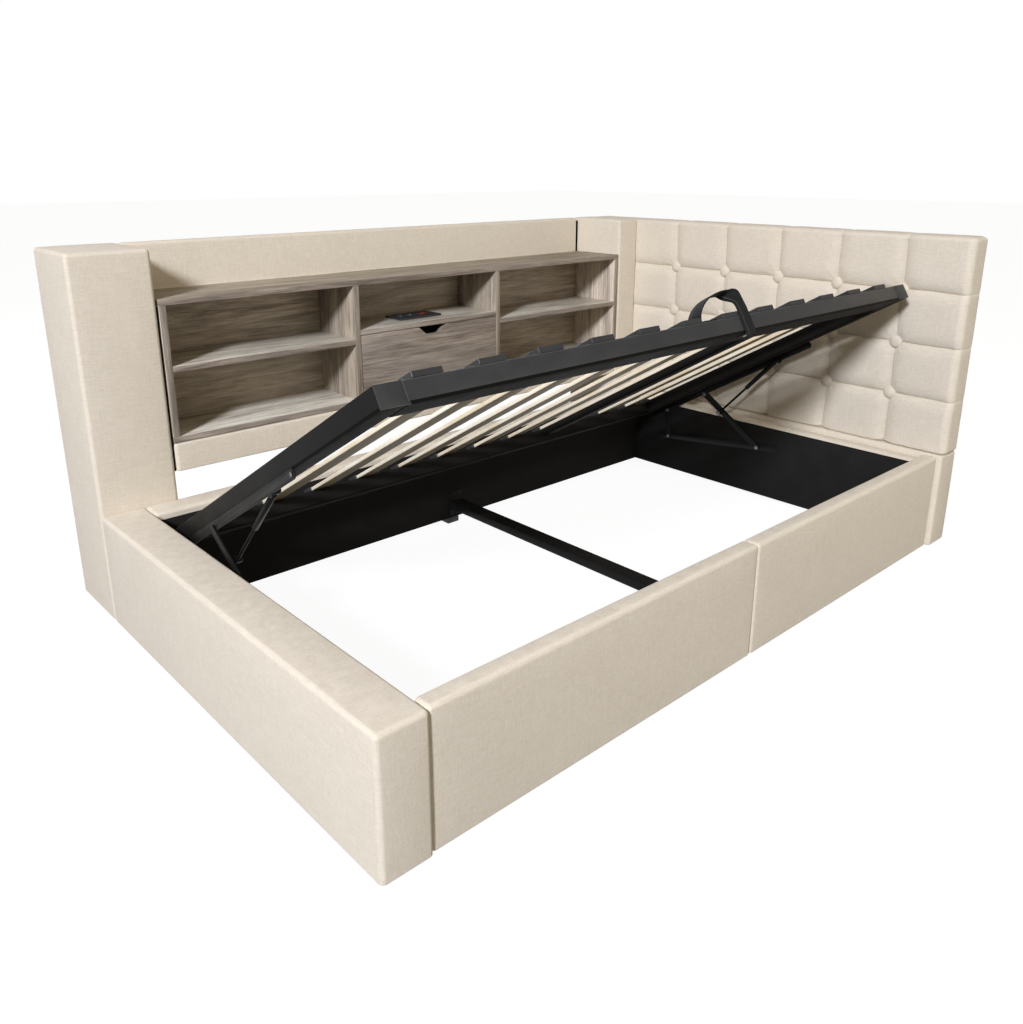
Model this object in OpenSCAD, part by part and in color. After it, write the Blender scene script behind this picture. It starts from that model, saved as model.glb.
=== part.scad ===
// Storage daybed with an ottoman lift frame, a tufted headboard and a bookshelf along its back.
// X runs from the footboard to the headboard, Y from the front rail to the bookshelf, Z is up.
// The origin is on the floor, at the middle of the overall length and depth.
// The lift frame is drawn raised, as it rests on its gas struts.

/* [Overall] */
// Length from the footboard's outer face to the headboard's
bed_l = 2230; // [2180:10:2300]
// Depth from the headboard's front end to the back panel
bed_d = 1526; // [1500:2:1560]
// Height of the headboard, columns and back panel
bed_h = 982; // [940:2:1060]
// Height of the footboard, front rail and back rail
rail_h = 305; // [300:1:315]
// Height of the nail-on glides under the panels
glide_h = 3; // [2:0.5:5]

/* [Panels] */
// Thickness of the footboard
foot_t = 114; // [100:1:125]
// Thickness of the headboard
head_t = 107; // [100:1:118]
// How far the footboard and rails stand behind the headboard's front end
foot_setback = 13; // [8:1:20]
// How far the front rail stands behind the footboard's front end
rail_setback = 6.5; // [3:0.5:12]
// Thickness of the front rail
rail_t = 46; // [36:1:52]
// Thickness of the back rail
back_rail_t = 75; // [60:1:80]
// Thickness of the ledge rail at the head end
ledge_t = 47; // [40:1:52]
// Height of the ledge rail's top, level with the closed slats' frame
ledge_h = 292; // [285:1:298]
// Height of the lower head panel
head_base_h = 309; // [305:1:330]
// Underside of the black liners, back rail and ledge rail
liner_z = 27; // [20:1:35]
// Top of the black liners
liner_h = 285; // [270:1:290]
// Thickness of the black liners
liner_t = 6; // [4:1:8]
// Thickness of foam and cloth over a panel's box
cover_t = 8; // [5:1:12]
// Wall of the plywood boxes inside the panels
ply_t = 12; // [9:1:18]
// Radius of the upholstered edges
soft_r = 14; // [6:1:16]

/* [Columns and back] */
// Length of the foot-end column
foot_col_l = 212; // [190:1:230]
// Length of the head-end column
head_col_l = 106; // [95:1:120]
// Depth of the columns
col_d = 250; // [230:1:260]
// Thickness of the back panel
back_t = 33; // [25:1:40]
// Height of the apron under the bookshelf
apron_h = 83; // [74:1:92]
// Thickness of the apron under the bookshelf
apron_t = 50; // [40:1:70]
// Gap between the columns and what stands between them
col_gap = 2; // [0.5:0.5:3]

/* [Tufted pad] */
// Thickness of the pad at the top of its puffs
pad_t = 22; // [18:1:28]
// Depth of the seams between the puffs
seam_d = 12; // [6:1:14]
// Extra depth at each button
pit_d = 6; // [3:0.5:7]
// Distance between the upright seams
tuft_pitch = 220.5; // [210:0.5:226]
// Distance from the middle upright seam to the headboard's front end
tuft_mid = 644; // [620:1:660]
// Upright seams
tuft_seams = 5; // [3:1:5]
// Rows of puffs
tuft_rows = 4; // [3:1:5]
// Diameter of a covered button
button_d = 24; // [16:1:28]

/* [Bookshelf] */
// Distance of the bookshelf's top below the columns' top
shelf_drop = 131; // [124:1:138]
// Height of the bookshelf
shelf_h = 389; // [376:1:396]
// Depth of the bookshelf
shelf_d = 217; // [205:1:217]
// Thickness of its boards
board_t = 16; // [12:1:18]
// Thickness of its side panels and dividers
side_t = 18; // [15:1:20]
// Thickness of its back
shelf_back_t = 6; // [3:1:8]
// Clear width of the foot-end bay
foot_bay = 573; // [540:1:590]
// Clear width of the middle bay
mid_bay = 556; // [530:1:580]
// Height of the outer bays' shelves above the bookshelf's underside
side_board_up = 193; // [170:1:220]
// Height of the middle bay's shelf above the bookshelf's underside
mid_board_up = 220; // [205:1:240]

/* [Drawer] */
// Gap around the drawer front
front_gap = 2; // [1:0.5:3]
// Thickness of the drawer front
front_t = 16; // [12:1:18]
// Width of one runner, fixed rail and moving rail together
runner_w = 13; // [12:0.5:14]
// Height of a runner
runner_h = 35; // [25:1:45]
// Thickness of the drawer's sides
drawer_wall = 12; // [9:1:14]
// Thickness of the drawer's bottom
drawer_base_t = 6; // [4:1:9]
// Depth of the drawer's box behind its front
drawer_d = 172; // [150:1:178]
// Height of the drawer's box
drawer_h = 140; // [110:1:150]
// Width of the hand notch at its rim
notch_w = 111; // [90:1:130]
// Depth of the hand notch
notch_d = 26; // [22:1:32]
// Width of the hand notch's flat bottom
notch_flat = 46; // [36:1:60]

/* [Power outlet] */
// Length of the outlet's faceplate
outlet_l = 170; // [150:1:190]
// Width of the outlet's faceplate
outlet_w = 92; // [80:1:100]
// Thickness of the faceplate
outlet_t = 6; // [5:0.5:9]
// Depth of the outlet's housing below the shelf's top
outlet_deep = 34; // [28:1:36]
// Distance of the faceplate from the bookshelf's front
outlet_back = 59; // [45:1:80]
// Length of the rocker switch
rocker_l = 18; // [15:0.5:20]
// Width of the rocker switch
rocker_w = 12; // [9:0.5:14]

/* [Lift mechanism] */
// Rear base pivot, distance in front of the back liner
rear_base_y = 167.5; // [150:0.5:180]
// Rear base pivot, height
rear_base_z = 162; // [150:1:170]
// Front base pivot, distance in front of the rear one
front_base_y = 398.6; // [380:0.2:410]
// Front base pivot, height above the rear one
front_base_up = 43.4; // [38:0.2:48]
// Length of the rear link between its pivots
rear_link_l = 105.4; // [100:0.2:110]
// Length of the front link between its pivots
front_link_l = 284.4; // [275:0.2:295]
// Angle of the raised front link above the horizontal
front_link_up = 33.3; // [30:0.1:35]
// Lean of the raised rear link towards the back
rear_link_lean = 4; // [3:0.1:6]
// Angle of the raised frame above the horizontal
lift_angle = 30.2; // [29.5:0.1:30.8]
// Distance of the strut's lower pin from the front base pivot
strut_foot_l = 187.7; // [170:0.1:200]
// Distance of the strut's upper pin in front of the rear frame pivot
strut_top_l = 540; // [520:1:560]
// Distance of the pivots below the frame's top
pivot_drop = 58; // [57:0.5:62]
// Thickness of the base plate
base_plate_t = 3; // [2.5:0.1:3.2]
// Thickness of the links
link_t = 4; // [3:0.1:4.2]
// Thickness of the plate on the lift frame
frame_plate_t = 3.2; // [2.5:0.1:3.4]
// Gap between the plates
layer_gap = 0.4; // [0.2:0.1:0.6]
// Width of the links
link_w = 23; // [20:1:24]
// Diameter of the pivot pins
pin_d = 9; // [7:0.5:10]
// Radial clearance of the pins
pin_gap = 0.08; // [0.03:0.01:0.1]
// Diameter of the gas strut's cylinder
strut_d = 15; // [12:0.5:15]
// Diameter of the gas strut's rod
rod_d = 8; // [6:0.5:8]
// Length of the gas strut's cylinder
cylinder_l = 150; // [140:1:170]

/* [Lift frame] */
// Height of the frame's tubes
tube_h = 45; // [40:1:45]
// Depth of the front tube
front_tube_w = 80; // [60:1:90]
// Depth of the rear tube
rear_tube_w = 45; // [43:1:50]
// Width of the side tubes
side_tube_w = 57; // [45:1:60]
// Wall of the tubes
tube_wall = 1.5; // [1.2:0.1:2.5]
// Distance from the rear frame pivot to the front tube's face
frame_reach = 1034; // [1015:1:1034]
// Distance from the rear frame pivot to the rear tube's face
frame_tail = 84; // [78:1:86]
// Width of the flat cross tube
cross_w = 50; // [40:1:60]
// Height of the flat cross tube
cross_h = 25; // [20:1:30]
// Slat that the cross tube lies under, counted from the foot end
cross_slat = 9; // [7:1:10]
// Number of slats
slat_n = 12; // [8:1:13]
// Distance between the slats
slat_pitch = 151.5; // [140:0.5:152]
// How far the slats stand off the frame's middle, towards the foot
slat_shift = 14; // [0:1:18]
// Width of a slat
slat_w = 58; // [45:1:62]
// Thickness of a slat
slat_t = 10; // [7:0.5:12]
// Distance of a slat's ends from the frame's front and rear faces
slat_end = 5; // [3:0.5:8]
// Width of a slat holder
holder_w = 68; // [66:1:72]
// Length of a front slat holder along the slat
front_holder_l = 60; // [50:1:60]
// Length of a rear slat holder along the slat
rear_holder_l = 42; // [36:1:43]
// Wall of a slat holder above the slat
holder_wall = 1.5; // [1:0.1:2.5]

/* [Pull strap] */
// Width of the webbing
strap_w = 42; // [30:1:44]
// Thickness of the webbing
strap_t = 2.5; // [2:0.1:3]
// Distance between the two ends of the loop
strap_l = 166; // [150:1:180]
// Rise of the loop above the frame's top
strap_rise = 67; // [50:1:80]
// Distance of the loop's standing end from the front tube's face
strap_in = 22.5; // [22:0.5:30]

/* [Base] */
// Width of the flat beam across the base
beam_w = 50; // [40:1:60]
// Height of the flat beam
beam_h = 24; // [20:1:30]
// Underside of the flat beam
beam_z = 62; // [50:1:80]
// Thickness of the steel brackets
bracket_t = 3; // [2:0.5:4]
// Side of the middle foot under the back rail
mid_foot_w = 46; // [36:1:60]
// Distance of the frame's two rests from the bed's middle
rest_x = 480; // [300:10:700]
// Width of a rest
rest_w = 60; // [40:1:90]

/* [Hidden] */

$fn = 48;
// A gap that keeps a soft solid or a moving piece clear of its seat
seat_gap = 0.3;
// Overshoot of a cut through a face
cut = 1;
// Diameter of a screw's hole
screw_d = 6;

linen = [0.87, 0.83, 0.76];
oak = [0.60, 0.55, 0.50];
ply = [0.80, 0.68, 0.50];
black = [0.10, 0.10, 0.10];
steel = [0.22, 0.22, 0.23];
pine = [0.92, 0.85, 0.70];

// Faces of the panels along X
foot_x = -bed_l / 2;
head_x = bed_l / 2;
foot_in = foot_x + foot_t;
head_in = head_x - head_t;
ledge_in = head_in - ledge_t;
well_foot = foot_in + liner_t;
well_head = ledge_in - liner_t;
well_mid = (well_foot + well_head) / 2;
seam_x = (foot_in + head_in) / 2;

// Faces of the panels along Y
front_y = -bed_d / 2;
back_y = bed_d / 2;
foot_front = front_y + foot_setback;
head_base_front = front_y + foot_setback / 2;
rail_out = foot_front + rail_setback;
rail_in = rail_out + rail_t;
col_front = back_y - col_d;
back_rail_in = col_front - back_rail_t;
well_back = back_rail_in - liner_t;
panel_in = back_y - back_t;

// Headboard layers along X
pad_back = head_in + pad_t;
head_box_in = pad_back + cover_t;

// Bookshelf
shelf_z = bed_h - shelf_drop - shelf_h;
// Underside of the apron and of the back panel
back_z = shelf_z - apron_h;
shelf_x0 = foot_x + foot_col_l + col_gap;
head_col_in = head_in - head_col_l;
shelf_x1 = head_col_in - col_gap;
shelf_front = panel_in - shelf_d;
shelf_rear = panel_in - shelf_back_t;
divider_foot_x = shelf_x0 + side_t + foot_bay;
mid_bay_x = divider_foot_x + side_t;
divider_head_x = mid_bay_x + mid_bay;
head_bay_x = divider_head_x + side_t;
mid_board_z = shelf_z + mid_board_up;
side_board_z = shelf_z + side_board_up;
bay_z = shelf_z + board_t;

// Drawer
drawer_x0 = mid_bay_x + runner_w;
drawer_l = mid_bay - 2 * runner_w;
drawer_front_z = bay_z + front_gap;
drawer_front_h = mid_board_z - front_gap - drawer_front_z;
drawer_y0 = shelf_front + front_t;
drawer_lift = 12;
drawer_box_z = bay_z + drawer_lift;
runner_z = drawer_box_z + drawer_h / 3;
runner_fixed_w = runner_w / 2;
runner_moving_w = runner_w - runner_fixed_w - seat_gap;

// Outlet
outlet_x0 = mid_bay_x + (mid_bay - outlet_l) / 2;
outlet_y0 = shelf_front + outlet_back;
outlet_lip = 10;
rocker_off = 34;
rocker_sink = 5;
outlet_z = mid_board_z + board_t;
rocker_x = outlet_x0 + outlet_l / 2 + rocker_off;
rocker_y = outlet_y0 + outlet_w / 2;
rocker_z = outlet_z + outlet_t - rocker_sink;
rocker_pin_d = 3;

// Linkage in its raised pose, as [Y, Z] points
base_rear = [well_back - rear_base_y, rear_base_z];
base_front = base_rear + [-front_base_y, front_base_up];
frame_rear = base_rear + rear_link_l * [sin(rear_link_lean), cos(rear_link_lean)];
link_dir = [cos(front_link_up), sin(front_link_up)];
frame_front = base_front + front_link_l * link_dir;
strut_foot = base_front + strut_foot_l * link_dir;
frame_dir = [-cos(lift_angle), sin(lift_angle)];
frame_up = [sin(lift_angle), cos(lift_angle)];
strut_top = frame_rear + strut_top_l * frame_dir;
// The front frame pivot in the frame's own axes
front_arm = frame_front - frame_rear;
front_eye = [-front_arm * frame_dir, front_arm * frame_up];
// The closed pose, where the frame lies level
closed_ref = base_rear - base_front + front_eye;
closed_turn = acos((pow(front_link_l, 2) + closed_ref * closed_ref - pow(rear_link_l, 2))
  / (2 * front_link_l * norm(closed_ref)));
link_closed = atan2(closed_ref.y, closed_ref.x) + closed_turn;
closed_pivot_z = base_front.y + front_link_l * sin(link_closed) - front_eye.y;
strut_l = norm(strut_top - strut_foot);
closed_top = [base_front.x + front_link_l * cos(link_closed) - front_eye.x - strut_top_l, closed_pivot_z];
closed_foot = base_front + strut_foot_l * [cos(link_closed), sin(link_closed)];
strut_stroke = strut_l - norm(closed_top - closed_foot);
strut_rise = atan2(strut_top.y - strut_foot.y, strut_top.x - strut_foot.x);
eye_r = 8.5;
boss_r = 13;

// Layers of the mechanism, measured from a liner towards the middle of the bed
link_in = base_plate_t + layer_gap;
plate_in = link_in + link_t + layer_gap;
frame_in = plate_in + frame_plate_t;
strut_clear = 4.5;
strut_in = frame_in + strut_clear;
strut_eye_w = strut_d;
strut_pin_d = pin_d - 1;
strut_mid = strut_in + strut_eye_w / 2;

// Lift frame, in its own axes: Y to the rear along the frame, Z up from the pivots
frame_l = well_head - well_foot - 2 * frame_in;
frame_x0 = well_foot + frame_in;
frame_x1 = frame_x0 + frame_l;
tube_top = pivot_drop;
tube_low = pivot_drop - tube_h;
frame_y0 = -frame_reach;
frame_y1 = frame_tail;
slat_x0 = well_mid - slat_shift - slat_pitch * (slat_n - 1) / 2;
cross_x0 = slat_x0 + (cross_slat - 1) * slat_pitch - slat_w / 2;
holder_gap = 0.2;

// Shapes that repeat

module between(lo, hi) {
  translate(lo) cube(hi - lo);
}

module round_rect(w, h, r) {
  translate([r, 0]) square([w - 2 * r, h]);
  translate([0, r]) square([w, h - 2 * r]);
  for (x = [r, w - r], y = [r, h - r]) translate([x, y]) circle(r);
}

// Block with its long edges rounded along all three axes
module soft_block(lo, hi, r = soft_r) {
  s = hi - lo;
  translate(lo) intersection() {
    linear_extrude(s.z) round_rect(s.x, s.y, r);
    translate([0, s.y, 0]) rotate([90, 0, 0]) linear_extrude(s.y) round_rect(s.x, s.z, r);
    rotate([90, 0, 90]) linear_extrude(s.x) round_rect(s.y, s.z, r);
  }
}

// Hollow plywood box
module ply_box(lo, hi) {
  color(ply) difference() {
    between(lo, hi);
    between(lo + [1, 1, 1] * ply_t, hi - [1, 1, 1] * ply_t);
  }
}

// Profile in Y and Z, extruded along X from the liner inwards; side 1 is the foot end, -1 the head
module layer(side, from, thick) {
  x = side > 0 ? well_foot + from : well_head - from - thick;
  translate([x, 0, 0]) rotate([90, 0, 90]) linear_extrude(thick) children();
}

module pin_at(side, from, thick, p, d) {
  layer(side, from, thick) translate(p) circle(d = d);
}

// Flat bar between two points, with round ends
module bar(p, q, w) {
  d = q - p;
  translate(p) rotate(atan2(d.y, d.x)) {
    translate([0, -w / 2]) square([norm(d), w]);
    circle(d = w);
    translate([norm(d), 0]) circle(d = w);
  }
}

// Places its children in the raised frame's own axes
module on_frame() {
  translate([0, frame_rear.x, frame_rear.y]) rotate([-lift_angle, 0, 0]) children();
}

// Upholstered panels

module footboard_cover() {
  lo = [foot_x, foot_front, glide_h];
  hi = [foot_in, col_front, rail_h];
  color(linen) difference() {
    soft_block(lo, hi);
    between(lo + [1, 1, 1] * cover_t, hi - [1, 1, 1] * cover_t);
  }
}

module footboard_box() {
  ply_box([foot_x, foot_front, glide_h] + [1, 1, 1] * cover_t,
          [foot_in, col_front, rail_h] - [1, 1, 1] * cover_t);
}

module head_panel_cover() {
  color(linen) difference() {
    soft_block([head_in, head_base_front, glide_h], [head_x, back_y, head_base_h]);
    between([head_box_in, head_base_front + cover_t, glide_h + cover_t],
            [head_x - cover_t, back_y - cover_t, head_base_h + cut]);
  }
}

// Grooves of the tufts' rows across the headboard's front end
row_groove_r = 4;
row_groove_out = 1.5;

// The upper headboard is thinner in front of the column, where the pad lies on it
module headboard_cover() {
  color(linen) difference() {
    union() {
      soft_block([pad_back, front_y, head_base_h], [head_x, back_y, bed_h]);
      soft_block([head_in, col_front, head_base_h], [head_x, back_y, bed_h]);
    }
    between([head_box_in, head_base_front + cover_t, head_base_h - cut],
            [head_x - cover_t, back_y - cover_t, bed_h - cover_t]);
    for (j = [1:tuft_rows - 1])
      translate([pad_back - cut, front_y - row_groove_out, pad_rows[j]]) rotate([0, 90, 0])
        cylinder(h = head_t, r = row_groove_r);
  }
}

module headboard_box() {
  ply_box([head_box_in, head_base_front + cover_t, glide_h + cover_t],
          [head_x - cover_t, back_y - cover_t, bed_h - cover_t]);
}

// Tufted pad: a grid of puffs that sinks along its seams and further at its buttons
pad_cells_y = 7;
pad_cells_z = 5;
pad_edge_t = 7;
pad_inset = 5;
pad_rim = 4;
pad_y0 = front_y + pad_rim;
pad_y1 = col_front - seat_gap;
pad_z0 = head_base_h + pad_rim;
pad_z1 = bed_h - pad_rim;
tuft_mid_y = front_y + tuft_mid;
tuft_reach = (tuft_seams - 1) / 2;
pad_stops = concat([pad_y0], [for (i = [-tuft_reach:tuft_reach]) tuft_mid_y + i * tuft_pitch], [pad_y1]);
pad_rows = [for (i = [0:tuft_rows]) pad_z0 + (pad_z1 - pad_z0) * i / tuft_rows];
pad_nu = (tuft_seams + 1) * pad_cells_y;
pad_nv = tuft_rows * pad_cells_z;

function along(stops, cells, i) =
  i >= (len(stops) - 1) * cells ? stops[len(stops) - 1]
  : let (k = floor(i / cells), f = i / cells - k) stops[k] + (stops[k + 1] - stops[k]) * f;
function puff(i, cells) = pow(max(0, 1 - pow(abs(2 * (i % cells) / cells - 1), 2.6)), 0.55);
function at_edge(i, n) = i == 0 || i == n;
function pad_height(i, j) =
  at_edge(i, pad_nu) || at_edge(j, pad_nv) ? pad_edge_t
  : pad_t - seam_d * (1 - puff(i, pad_cells_y) * puff(j, pad_cells_z))
    - (i % pad_cells_y == 0 && j % pad_cells_z == 0 ? pit_d : 0);
function drawn_in(i, n) = i == 0 ? pad_inset : i == n ? -pad_inset : 0;
function pad_point(i, j) = [
  pad_back - pad_height(i, j),
  along(pad_stops, pad_cells_y, i) + drawn_in(i, pad_nu),
  along(pad_rows, pad_cells_z, j) + drawn_in(j, pad_nv)
];
function pad_ring() = concat(
  [for (i = [0:pad_nu - 1]) [i, 0]],
  [for (j = [0:pad_nv - 1]) [pad_nu, j]],
  [for (i = [pad_nu:-1:1]) [i, pad_nv]],
  [for (j = [pad_nv:-1:1]) [0, j]]
);
function pad_index(i, j) = i * (pad_nv + 1) + j;

module tufted_pad() {
  ring = pad_ring();
  ring_n = len(ring);
  face = [for (i = [0:pad_nu], j = [0:pad_nv]) pad_point(i, j)];
  back = [for (r = ring) let (p = pad_point(r[0], r[1]))
    [pad_back, p.y - drawn_in(r[0], pad_nu), p.z - drawn_in(r[1], pad_nv)]];
  first = len(face);
  hub = first + ring_n;
  centre = [pad_back, (pad_y0 + pad_y1) / 2, (pad_z0 + pad_z1) / 2];
  color(linen) polyhedron(
    points = concat(face, back, [centre]),
    faces = concat(
      [for (i = [0:pad_nu - 1], j = [0:pad_nv - 1])
        [pad_index(i, j), pad_index(i + 1, j), pad_index(i + 1, j + 1)]],
      [for (i = [0:pad_nu - 1], j = [0:pad_nv - 1])
        [pad_index(i, j), pad_index(i + 1, j + 1), pad_index(i, j + 1)]],
      [for (k = [0:ring_n - 1]) let (n = (k + 1) % ring_n)
        [pad_index(ring[k][0], ring[k][1]), first + k, pad_index(ring[n][0], ring[n][1])]],
      [for (k = [0:ring_n - 1]) let (n = (k + 1) % ring_n)
        [first + k, first + n, pad_index(ring[n][0], ring[n][1])]],
      [for (k = [0:ring_n - 1]) [first + k, hub, first + (k + 1) % ring_n]]
    )
  );
}

// Covered buttons, each on a short shank that reaches down its pit
button_back = pad_back - pad_t + seam_d + pit_d - 5;
button_t = 5;
shank_d = 4;

module tuft_buttons() {
  pit_x = pad_back - pad_t + seam_d + pit_d - seat_gap;
  color(linen)
    for (i = [-tuft_reach:tuft_reach], j = [1:tuft_rows - 1])
      translate([button_back, tuft_mid_y + i * tuft_pitch, pad_rows[j]]) rotate([0, -90, 0]) {
        cylinder(h = button_t * 0.6, d = button_d);
        translate([0, 0, button_t * 0.6]) cylinder(h = button_t * 0.4, d1 = button_d, d2 = button_d * 0.7);
        translate([0, 0, button_back - pit_x]) cylinder(h = pit_x - button_back, d = shank_d);
      }
}

// Columns, back panel and apron

module column_cover(x0, x1) {
  lo = [x0, col_front, glide_h];
  hi = [x1, back_y, bed_h];
  color(linen) difference() {
    soft_block(lo, hi);
    between(lo + [1, 1, 1] * cover_t, hi - [1, 1, 1] * cover_t);
  }
}

module column_box(x0, x1) {
  ply_box([x0, col_front, glide_h] + [1, 1, 1] * cover_t, [x1, back_y, bed_h] - [1, 1, 1] * cover_t);
}

module foot_column_cover() column_cover(foot_x, foot_x + foot_col_l);
module head_column_cover() column_cover(head_col_in, head_in);

module column_boxes() {
  column_box(foot_x, foot_x + foot_col_l);
  column_box(head_col_in, head_in);
}

module back_panel() {
  lo = [foot_x + foot_col_l, panel_in, back_z];
  hi = [head_col_in, back_y, bed_h];
  color(linen) soft_block(lo, hi, soft_r * 0.8);
}

module shelf_apron() {
  color(linen) soft_block([shelf_x0, shelf_front, back_z], [shelf_x1, shelf_front + apron_t, shelf_z]);
}

// Rails, ledge and liners

module rail_half(x0, x1) {
  color(linen) soft_block([x0, rail_out, glide_h], [x1, rail_in, rail_h]);
}

module front_rail_foot_half() rail_half(foot_in, seam_x - seat_gap / 2);
module front_rail_head_half() rail_half(seam_x + seat_gap / 2, head_in);

module back_rail() {
  color(linen) soft_block([foot_in, back_rail_in, liner_z], [head_in, col_front, rail_h]);
}

module head_ledge() {
  color(linen) soft_block([ledge_in, rail_in, liner_z], [head_in, back_rail_in, ledge_h], soft_r * 0.7);
}

module foot_liner() {
  color(black) between([foot_in, rail_in, liner_z], [well_foot, well_back, liner_h]);
}

module head_liner() {
  color(black) between([well_head, rail_in, liner_z], [ledge_in, well_back, liner_h]);
}

module back_liner() {
  color(black) between([foot_in, well_back, liner_z], [ledge_in, back_rail_in, liner_h]);
}

// Base beam, its hangers, brackets, glides and the middle foot

module base_beam() {
  color(steel) difference() {
    between([seam_x - beam_w / 2, rail_in + bracket_t, beam_z],
            [seam_x + beam_w / 2, well_back - bracket_t, beam_z + beam_h]);
    between([seam_x - beam_w / 2 + tube_wall, rail_in, beam_z + tube_wall],
            [seam_x + beam_w / 2 - tube_wall, well_back, beam_z + beam_h - tube_wall]);
  }
}

// Screw hole along Y through a bracket whose back lies at the origin
module screw_hole() {
  translate([0, bracket_t + cut, 0]) rotate([90, 0, 0]) cylinder(h = bracket_t + 2 * cut, d = screw_d);
}

// U-shaped saddle that holds one end of the beam
hanger_d = 40;
hanger_h = 86;
hanger_hole = 10;

module beam_hanger(y, way) {
  out_w = beam_w + 2 * bracket_t;
  translate([seam_x, y, beam_z]) mirror([0, way < 0 ? 1 : 0, 0]) difference() {
    union() {
      translate([-out_w / 2, 0, -liner_z]) cube([out_w, bracket_t, hanger_h]);
      translate([-out_w / 2, 0, -bracket_t]) cube([out_w, hanger_d, bracket_t]);
      for (x = [-out_w / 2, out_w / 2 - bracket_t])
        translate([x, 0, -bracket_t]) cube([bracket_t, hanger_d, beam_h + bracket_t]);
    }
    for (z = [hanger_hole - liner_z, hanger_h - liner_z - hanger_hole]) translate([0, 0, z]) screw_hole();
  }
}

module beam_hangers() {
  color(steel) {
    beam_hanger(rail_in, 1);
    beam_hanger(well_back, -1);
  }
}

// Steel angles that join the front rail to the end panels and the two rail halves to each other
angle_w = 50;
angle_h = 120;
angle_hole = 30;
angle_up = 25;
splice_l = 160;
splice_h = 70;
splice_up = 56;
splice_hole = 20;

module angle_bracket(way) {
  mirror([way < 0 ? 1 : 0, 0, 0]) difference() {
    union() {
      cube([bracket_t, angle_w, angle_h]);
      cube([angle_w, bracket_t, angle_h]);
    }
    for (z = [angle_hole, angle_h - angle_hole]) {
      translate([0, angle_w * 0.6, z]) rotate([0, 0, -90]) screw_hole();
      translate([angle_w * 0.6, 0, z]) screw_hole();
    }
  }
}

// Angle on the front rail that the closed frame's front tube rests over
module frame_rest() {
  rest_h = 40;
  rest_d = 34;
  translate([-rest_w / 2, 0, closed_pivot_z + tube_low - seat_gap]) {
    translate([0, 0, -bracket_t]) cube([rest_w, rest_d, bracket_t]);
    translate([0, 0, -rest_h]) cube([rest_w, bracket_t, rest_h]);
  }
}

// Plate behind the joint of the two rail halves, with eight screw holes
module splice_plate() {
  difference() {
    translate([-splice_l / 2, 0, 0]) cube([splice_l, bracket_t, splice_h]);
    for (k = [-3:2:3], z = [splice_hole, splice_h - splice_hole])
      translate([k * splice_hole, 0, z]) screw_hole();
  }
}

module rail_brackets() {
  color(steel) {
    translate([well_foot, rail_in, beam_z + angle_up]) angle_bracket(1);
    translate([well_head, rail_in, beam_z + angle_up]) angle_bracket(-1);
    for (x = [-rest_x, rest_x]) translate([well_mid + x, rail_in, 0]) frame_rest();
    translate([seam_x, rail_in, beam_z + beam_h + splice_up]) splice_plate();
  }
}

glide_d = 24;
glide_in = 80;
glide_col_in = 50;
mid_foot_in = 8;

module floor_glides() {
  in_x = foot_t / 2;
  color(black)
    for (p = [
      [foot_x + in_x, foot_front + glide_in], [foot_x + in_x, col_front - glide_in],
      [foot_x + in_x, back_y - glide_col_in], [foot_x + foot_col_l - glide_col_in, back_y - glide_col_in],
      [head_x - in_x, head_base_front + glide_in], [head_x - in_x, 0], [head_x - in_x, back_y - glide_in],
      [head_col_in + glide_col_in, back_y - glide_col_in], [seam_x - glide_in, rail_out + rail_t / 2],
      [seam_x + glide_in, rail_out + rail_t / 2]
    ]) translate(p) cylinder(h = glide_h, d = glide_d);
}

module rear_middle_foot() {
  y = back_rail_in + mid_foot_in;
  color(black) between([seam_x - mid_foot_w / 2, y, 0], [seam_x + mid_foot_w / 2, y + mid_foot_w, liner_z]);
}

// Bookshelf

module shelf_top() {
  top = shelf_z + shelf_h;
  color(oak) between([shelf_x0, shelf_front, top - board_t], [shelf_x1, shelf_rear, top]);
}

module shelf_bottom() {
  color(oak) between([shelf_x0, shelf_front, shelf_z], [shelf_x1, shelf_rear, bay_z]);
}

module upright(x) {
  color(oak) between([x, shelf_front, bay_z], [x + side_t, shelf_rear, shelf_z + shelf_h - board_t]);
}

module shelf_sides() {
  upright(shelf_x0);
  upright(shelf_x1 - side_t);
}

module shelf_dividers() {
  upright(divider_foot_x);
  upright(divider_head_x);
}

module shelf_board(x0, x1, z) {
  color(oak) between([x0, shelf_front, z], [x1, shelf_rear, z + board_t]);
}

module shelf_board_foot() shelf_board(shelf_x0 + side_t, divider_foot_x, side_board_z);
module shelf_board_head() shelf_board(head_bay_x, shelf_x1 - side_t, side_board_z);

module shelf_board_middle() {
  difference() {
    shelf_board(mid_bay_x, divider_head_x, mid_board_z);
    between([outlet_x0 + outlet_lip, outlet_y0 + outlet_lip, mid_board_z - cut],
            [outlet_x0 + outlet_l - outlet_lip, outlet_y0 + outlet_w - outlet_lip, outlet_z + cut]);
  }
}

module shelf_back() {
  color(oak) between([shelf_x0, shelf_rear, shelf_z], [shelf_x1, panel_in, shelf_z + shelf_h]);
}

// Drawer

// Radius between the hand notch's bottom and its slanted sides
notch_r = 20;
notch_steps = 6;

// Hand notch below the origin, with slanted sides
module hand_notch() {
  lean = (notch_w - notch_flat) / (2 * notch_d);
  side_up = atan(1 / lean);
  centre = [notch_flat / 2 - notch_r * tan(side_up / 2), notch_r - notch_d];
  bend = [for (k = [0:notch_steps]) let (a = side_up * k / notch_steps) centre + notch_r * [sin(a), -cos(a)]];
  half = concat(bend, [[notch_w / 2 + lean * cut, cut]]);
  polygon(concat(half, [for (k = [len(half) - 1:-1:0]) [-half[k].x, half[k].y]]));
}

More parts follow.
